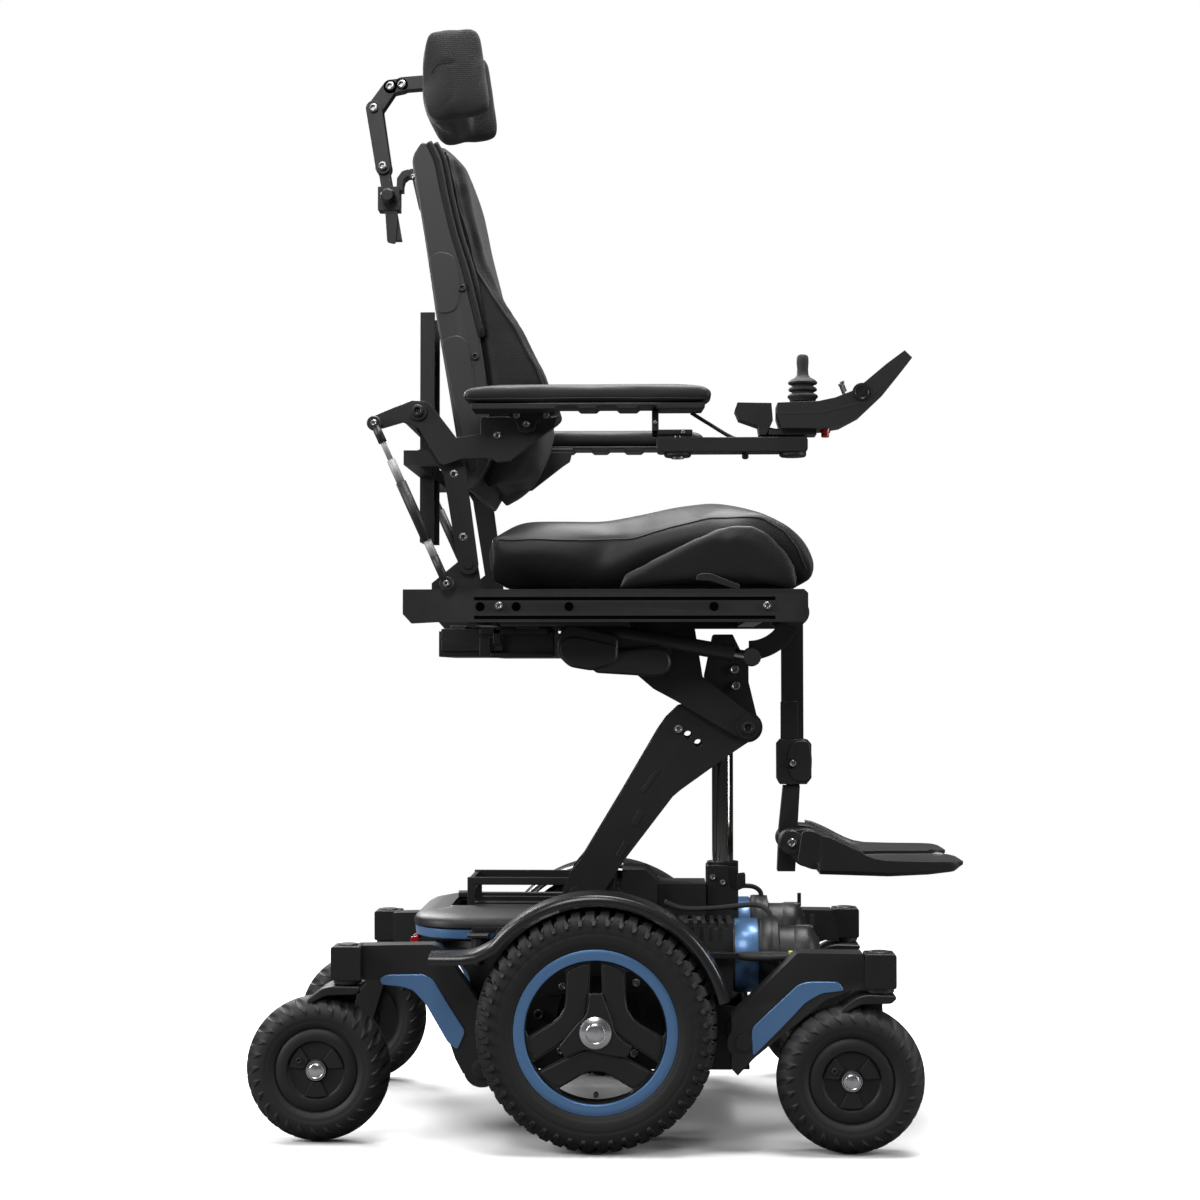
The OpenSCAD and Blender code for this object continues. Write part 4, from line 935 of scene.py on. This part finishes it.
for side, s in SIDES:
    a, b = np.array([-224, s * 262, 830.0]), np.array([-333, s * 262, 1070.0])
    body = f"armrest_link_{side}"
    spans = ((0.02, 0.17, 6.4, "powder"), (0.17, 0.27, 6.2, "pale"), (0.27, 0.63, 8.0, "plastic"),
             (0.63, 0.77, 6.4, "pale"), (0.77, 0.92, 4.2, "pale"), (0.88, 0.98, 6.4, "powder"))
    for n, (t0, t1, r, mat) in enumerate(spans):
        tube(f"level_rod_{side}_{n}", [a + (b - a) * t0, a + (b - a) * t1], r, mat, body, 24, False, 1)
    for n, (x, _, z) in enumerate((a, b)):
        eye = disc(f"level_rod_eye_{side}_{n}", x, z, 257, s,
                   [(0.01, 0), (9.5, 0), (11, 1.4), (11, 7.6), (9.5, 9), (0.01, 9)], "powder", body, 48)
        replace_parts(eye, f"arm_link_{side}")
    screw_heads(f"level_rod_bolts_{side}", body, [(-224, 266.4, 830), (-333, 266.4, 1070)], 5, [s])

PAD = [(-194, 1102), (-191, 1112), (-182, 1119), (-154, 1121), (153, 1121), (166, 1114), (169, 1104),
       (165, 1094), (158, 1091), (-184, 1091), (-192, 1094)]
PAD_PLATE = [(-182, 1083), (-60, 1083), (-56, 1087), (-28, 1087), (-24, 1083), (0, 1083), (4, 1087), (30, 1087),
             (34, 1083), (60, 1083), (64, 1087), (88, 1087), (92, 1083), (155, 1083), (161, 1092), (-184, 1092)]
FLANGE = [(-119, 1068), (-135, 1084), (-135, 1088), (-60, 1088), (-60, 1084), (-91, 1068), (-93, 1058), (-105, 1054),
          (-117, 1058)]
for side, s in SIDES:
    body = f"armrest_pad_{side}"
    pad = prism(f"arm_pad_soft_{side}", PAD, s * PAD_INNER, s * PAD_OUTER, "foam", body, 9.0, 4)
    apply_modifiers(pad)
    soften(pad, "foam", body, 1.5, 0.004)
    inflate(pad, 5, 10)
    ends = np.array([(-194 - MIDDLE_X, s * PAD_INNER, 1091), (169 - MIDDLE_X, s * PAD_OUTER, 1121)]) * MM
    fit(pad, ends.min(0), ends.max(0))
    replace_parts(pad, f"armrest_{side}")
    prism(f"arm_pad_plate_{side}", PAD_PLATE, s * 260, s * 320, "plastic", body, 1.4)
    prism(f"arm_flange_{side}", rounded(FLANGE, 4), s * 256, s * 264, "powder", body, 1.2)
    screw_heads(f"arm_pivot_{side}", body, [(-105, 266.4, 1068), (-120, 264.4, 1081), (-75, 264.4, 1081)], 5, [s])
    cord_on(f"arm_pad_seam_{side}", pad, [(x, s * (PAD_OUTER - 1), 1097) for x in (-190, 160)], 0.9, "rubber", body)
for name, low, high in (("upright", (82, 1048), (92, 1085)), ("foot", (82, 1048), (142, 1056))):
    prism(f"joystick_bracket_{name}", [low, (high[0], low[1]), high, (low[0], high[1])], -289, -261, "powder",
          "armrest_pad_right", 1.6)
bar = prism("swing_arm_moulded", rounded([(89, 1022), (89, 1043.6), (311, 1043.6), (311, 1022)], 5, 3), -297, -253,
            "powder", "joystick_arm", 5.0, 4)
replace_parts(bar, "swing_arm")
for k, (x, r) in enumerate(((120, 20), (290, 20), (220, 5))):
    foot = 1012 + r / 5
    turned(f"swing_arm_pad_{k}", (x, ARM_Y, 0), "z", [(0.01, foot), (r - 2, foot), (r, foot + 2), (r, 1024)],
           "plastic", "joystick_arm", 48)
turned("joystick_swing_pin", (120, ARM_Y, 0), "z", [(0.01, 1013), (9, 1013.6), (9.6, 1016), (9.6, 1020), (6, 1020.5),
       (6, 1050), (0.01, 1050)], "steel", "armrest_pad_right", 32)
screw_heads("joystick_bracket_screws", "armrest_pad_right", [(87, 289.6, 1066), (128, 289.6, 1052)], 3.2, [-1])


# ---------------------------------------------------------------- joystick

BOOT = [(19, 1098), (19.6, 1101), (22.4, 1104), (22.6, 1106), (20.5, 1108.5), (16, 1110.4), (16, 1111.6),
        (20.8, 1114), (21.2, 1116.4), (19, 1118.8), (15.4, 1120.4), (15.4, 1121.4), (21, 1124), (21.8, 1126.2),
        (19, 1129.6), (11.4, 1133.6), (8.8, 1137.6), (8.2, 1146), (9, 1156), (8.8, 1163), (7.4, 1166.4),
        (4, 1168), (0.01, 1168.4)]
boot = turned("joystick_boot_and_knob", (STICK_X, ARM_Y, 0), "z", BOOT, "rubber", "joystick_side", 64)
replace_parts(boot, "joystick_stick")
disc("console_side_disc", 389, 1108, 307, -1, [(0.01, 1.2), (9, 1.2), (10, 2.2), (13, 2.0), (13.4, -3)], "gloss",
     "joystick_console")
turned("console_socket", (338, ARM_Y, 0), "z",
       [(0.01, 1045), (5.5, 1045), (6, 1046), (6, 1051), (7.6, 1052), (7.6, 1058)], "red", "joystick_console", 32)
for k in range(4):
    x, z = 338 + k * 11, 1096.6 + k * 3.4
    key = rounded([(x, z - 1), (x + 8, z + 1.8), (x + 7.4, z + 4), (x - 0.6, z + 1.2)], 1, 2)
    prism(f"console_key_{k}", key, -285, -265, "rubber", "joystick_console", 0.8)
seam = [(270, 1078), (330, 1079), (392, 1094), (440, 1135)]
seam += [(x, z - 1.4) for x, z in ((440, 1135), (392, 1093.8), (330, 1079), (270, 1078))]
prism("console_seam", rounded(seam, 0.4, 1), -307.5, -242.5, "rubber", "joystick_console", 0)
tube("joystick_cable", [(140, -262, 1084), (166, -260, 1068), (204, -258, 1046), (236, -258, 1040), (262, -258, 1046)],
     3.0, "rubber", "armrest_pad_right")


# ---------------------------------------------------------------- headrest

HEAD_MAIN = [(-284, 1588), (-284, 1702), (-274, 1713), (-240, 1717), (-228, 1716), (-222, 1700), (-226, 1592),
             (-238, 1574), (-266, 1571)]
HEAD_WING = [(-234, 1716), (-205, 1716), (-195, 1708), (-189, 1666), (-184, 1630), (-179, 1600), (-184, 1588),
             (-204, 1581), (-238, 1575)]
HEAD_MAIN, HEAD_WING = ([(x, z + 5) for x, z in outline] for outline in (HEAD_MAIN, HEAD_WING))
parts = [prism("head_main", HEAD_MAIN, -94, 94, "fabric_grey", "headrest", 8.0, 3)]
parts += [prism(f"head_wing_{n}", HEAD_WING, s * 62, s * 95, "fabric_grey", "headrest", 6.0, 3) for n, s in SIDES]
head = join("headrest_soft", parts)
soften(head, "fabric_grey", "headrest", 3, 0.005)
inflate(head, 8, 14)
fit(head, np.array((-287 - MIDDLE_X, -96, 1577)) * MM, np.array((-178 - MIDDLE_X, 96, 1722)) * MM)
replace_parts(head, "headrest_pad")
for side, s in SIDES:
    across = [(-283, s * 94, 1650), (-261, s * 95, 1662), (-234, s * 95, 1665)]
    down = [(-236, s * 94, 1713), (-232, s * 95, 1665), (-230, s * 95, 1631), (-234, s * 95, 1609),
            (-248, s * 95, 1596), (-273, s * 94, 1581)]
    press_channel(head, across, 4, 1.6)
    press_channel(head, down, 4, 1.0)
    cord_on(f"headrest_seam_{side}", head, across, 0.8, "fabric", "headrest")
arms = [prism(f"head_arm_{k}", link_outline(a, b, ra, rb), -10, 10, "powder", "headrest", 1.0)
        for k, (a, b, ra, rb) in enumerate((((-371, 1614), (-345, 1651), 13, 12), ((-345, 1651), (-326, 1654), 12, 11),
                                            ((-326, 1656), (-286, 1659), 11, 11)))]
join("headrest_arm_bent", arms)
screw_heads("headrest_pivot_bolts", "headrest", [(-371, 17, 1614), (-345, 10.6, 1651), (-326, 10.6, 1654)], 7)
screw_heads("headrest_post_bolts", "headrest_arm", [(-356, 16.8, 1519)], 7)
turned("headrest_clamp_knob", (-345, -26, 1467), "y",
       [(0.01, -12.6), (8, -12.6), (11, -10), (12, -6), (12, 0), (10, 3), (8.4, 4)], "plastic", "back", 48, False,
       lambda a, r, h: (np.where(r > 11, r * (1 + 0.05 * np.cos(9 * a)), r), h))
screw_heads("headrest_clamp_screws", "back", [(-306, 22.4, 1500), (-292, 22.4, 1460)], 4, [-1])
sleeve = [(-357, 1500), (-343, 1498), (-331, 1437), (-335, 1392), (-349, 1395), (-352, 1440)]
prism("headrest_post_sleeve", rounded(sleeve, 4), -12.5, -10.2, "powder", "headrest_slide", 0.8)


# ---------------------------------------------------------------- legrest and footplates

FLOOR = [(PLATE_HEEL, 402), (372, 407), (450, 409), (545, 409.5), (PLATE_TIP, 408)]
EDGE = [(PLATE_HEEL, 450), (347, 447.7), (360, 442.5), (373, 436.6), (388, 428.5), (403, 421), (418, 415.6),
        (436, 412.6), (480, 411.6), (PLATE_TIP, 411)]
UNDER = [(PLATE_HEEL, 391), (440, 388), (500, 391), (540, 396), (PLATE_TIP, 401)]


def at(table, x):
    return np.interp(x, *np.array(table, float).T)


def footplate(side, s):
    """Dished plate with a raised outer wall that sweeps down to a rounded tip."""
    across, along = 44, 60
    u, v = np.meshgrid(np.linspace(0, 1, across), np.linspace(0, 1, along), indexing="ij")
    u = 0.5 - 0.5 * np.cos(math.pi * u)
    y = PLATE_INNER + (PLATE_OUTER - PLATE_INNER) * u
    corner = np.clip((abs(y - (PLATE_INNER + PLATE_OUTER) / 2) - 39) / 35, 0, 1)
    tip = PLATE_TIP - 32 * (1 - np.sqrt(1 - corner ** 2 * 0.985))
    x = PLATE_HEEL + (tip - PLATE_HEEL) * v
    wall = ramp(1 - (PLATE_OUTER - y) / 26) ** 1.4
    top = at(FLOOR, x) + (at(EDGE, x) - at(FLOOR, x)) * wall
    top += 1.8 * ramp(1 - (y - PLATE_INNER) / 7) + 1.8 * ramp(1 - (tip - x) / 7) * (1 - wall)
    low = at(UNDER, x) + 7 * ramp(1 - (PLATE_OUTER - y) / 12) ** 2 + 5 * ramp(1 - (y - PLATE_INNER) / 9) ** 2
    low = np.minimum(low + 5 * ramp(1 - (tip - x) / 12), top - 3.5)
    verts = [(a, s * b, c) for height in (top, low) for a, b, c in zip(x.ravel(), y.ravel(), height.ravel())]
    count = across * along
    faces = quads(across, along)
    faces += (np.array(faces) + count).tolist()
    grid = np.arange(count).reshape(across, along)
    rim = np.concatenate([grid[:, 0], grid[-1, 1:], grid[-2::-1, -1], grid[0, -2:0:-1]])
    faces += [[a, b, b + count, a + count] for a, b in zip(rim.tolist(), np.roll(rim, -1).tolist())]
    plate = new_piece(f"footplate_dished_{side}", np.array(verts) * MM, faces, "powder", f"foot_{side}")
    round_edges(plate, 1.6, 3, 50)
    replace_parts(plate, f"footplate_{side}")
    body = f"foot_{side}"
    heel = [(292, 446), (312, 452), (331, 452), (368, 436), (416, 414), (416, 391), (328, 391), (312, 394), (296, 410)]
    prism(f"foot_heel_{side}", rounded(heel, 8, 4), s * PLATE_INNER, s * 59, "powder", body, 2.5)
    heel_wall = [(306, 400), (314, 452), (330, 452), (400, 420), (400, 391), (330, 391)]
    prism(f"foot_heel_wall_{side}", rounded(heel_wall, 8, 4), s * 85, s * 92, "powder", body, 2.0)
    prism(f"foot_heel_floor_{side}", rounded([(312, 398), (318, 408), (372, 408), (372, 391), (330, 391)], 5, 3),
          s * PLATE_INNER, s * 91, "powder", body, 1.5)
    disc(f"foot_eye_{side}", 300, 430, 26.5, s, [(0.01, 0), (18, 0), (20, 2), (20, 31.5), (18, 33.5), (0.01, 33.5)],
         "powder", body, 64)
    screw_heads(f"footplate_bolt_{side}", body, [(300, 61, 430)], 7, [s])


for side, s in SIDES:
    footplate(side, s)
    prism(f"legrest_knob_{side}", rounded([(294, 556), (297, 577), (306, 589), (330, 590), (335, 562), (334, 540),
                                                (328, 523), (306, 524), (297, 537)], 8, 4),
          s * 20, s * 25.5, "plastic", "legrest", 2.5)
    prism(f"legrest_sleeve_{side}", rounded([(287, 588), (287, 652), (313, 652), (313, 588)], 3, 3), s * 12, s * 17.6,
          "powder", "legrest", 1.2)
screw_heads("legrest_clamp_bolts", "legrest", [(304, 26, 553)], 5.5)
screw_heads("legrest_knee_bolts", "legrest", [(300, 158.6, 790)], 7)


for (look, edge_mm), names in LOOKS.items():
    for node_name in names:
        finish_cad(node_name, look, edge_mm)


# ---------------------------------------------------------------- stage, light and camera

def area_light(name, place, aim, size, power):
    data = bpy.data.lights.new(name, "AREA")
    data.shape = "RECTANGLE"
    data.size, data.size_y = size
    data.energy = power
    obj = bpy.data.objects.new(name, data)
    obj.location = place
    obj.rotation_euler = (Vector(aim) - Vector(place)).to_track_quat("-Z", "Y").to_euler()
    bpy.context.scene.collection.objects.link(obj)


bpy.ops.mesh.primitive_plane_add(size=60, location=(0, 0, -0.0006))
floor = bpy.context.object
floor.name = "studio_floor"
white = Nodes("studio_white")
white.shade(Base_Color=white.mix(white.noise(0.6, 1.0), (0.80, 0.80, 0.80), (0.82, 0.82, 0.82)), Roughness=0.7,
            Specular_IOR_Level=0.1)
distance = white.add("ShaderNodeVectorMath", {0: white.coords}, operation="LENGTH").outputs["Value"]
fade = white.add("ShaderNodeMapRange", {"Value": distance, "From Min": 0.9, "From Max": 2.6}).outputs[0]
glow = white.add("ShaderNodeEmission").outputs[0]
blended = white.add("ShaderNodeMixShader", {0: fade, 1: white.shader.outputs[0], 2: glow}).outputs[0]
dim = white.add("ShaderNodeBsdfDiffuse", {"Color": (0.12, 0.12, 0.12, 1)}).outputs[0]
seen = white.add("ShaderNodeLightPath").outputs["Is Camera Ray"]
shown = white.add("ShaderNodeMixShader", {0: seen, 1: dim, 2: blended}).outputs[0]
white.link(shown, white.tree.nodes["Material Output"].inputs["Surface"])
floor.data.materials.append(white.mat)

scene = bpy.context.scene
world = bpy.data.worlds.new("studio")
world.use_nodes = True
tree = world.node_tree
sky = tree.nodes["Background"]
sky.inputs[0].default_value = (1, 1, 1, 1)
seen = tree.nodes.new("ShaderNodeLightPath").outputs["Is Camera Ray"]
level = tree.nodes.new("ShaderNodeMapRange")
level.inputs["To Min"].default_value = 0.07
level.inputs["To Max"].default_value = 1.0
tree.links.new(seen, level.inputs["Value"])
tree.links.new(level.outputs[0], sky.inputs[1])
scene.world = world
scene.view_settings.view_transform = "Standard"
area_light("key", (-3.4, -1.5, 2.0), (-0.1, 0, 0.9), (1.2, 2.2), 120)
area_light("front", (-0.6, -3.6, 3.4), (0, 0, 0.6), (1.6, 1.6), 70)
area_light("rim", (-1.6, 2.6, 2.8), (0, 0, 0.8), (1.0, 2.4), 160)
area_light("top", (0.3, 0.2, 4.4), (0, 0, 0), (2.6, 2.6), 420)
area_light("side", (3.4, -1.2, 1.4), (0, 0, 0.7), (0.6, 2.4), 60)

camera_data = bpy.data.cameras.new("photo_camera")
camera_data.lens = 61.44
camera_data.sensor_width = 36
camera = bpy.data.objects.new("photo_camera", camera_data)
camera.location = (0.101 - MIDDLE_X * MM, -3.300, 0.697)
camera.rotation_euler = (math.pi / 2 + 0.035612, 0, 0.031708)
scene.collection.objects.link(camera)
scene.camera = camera
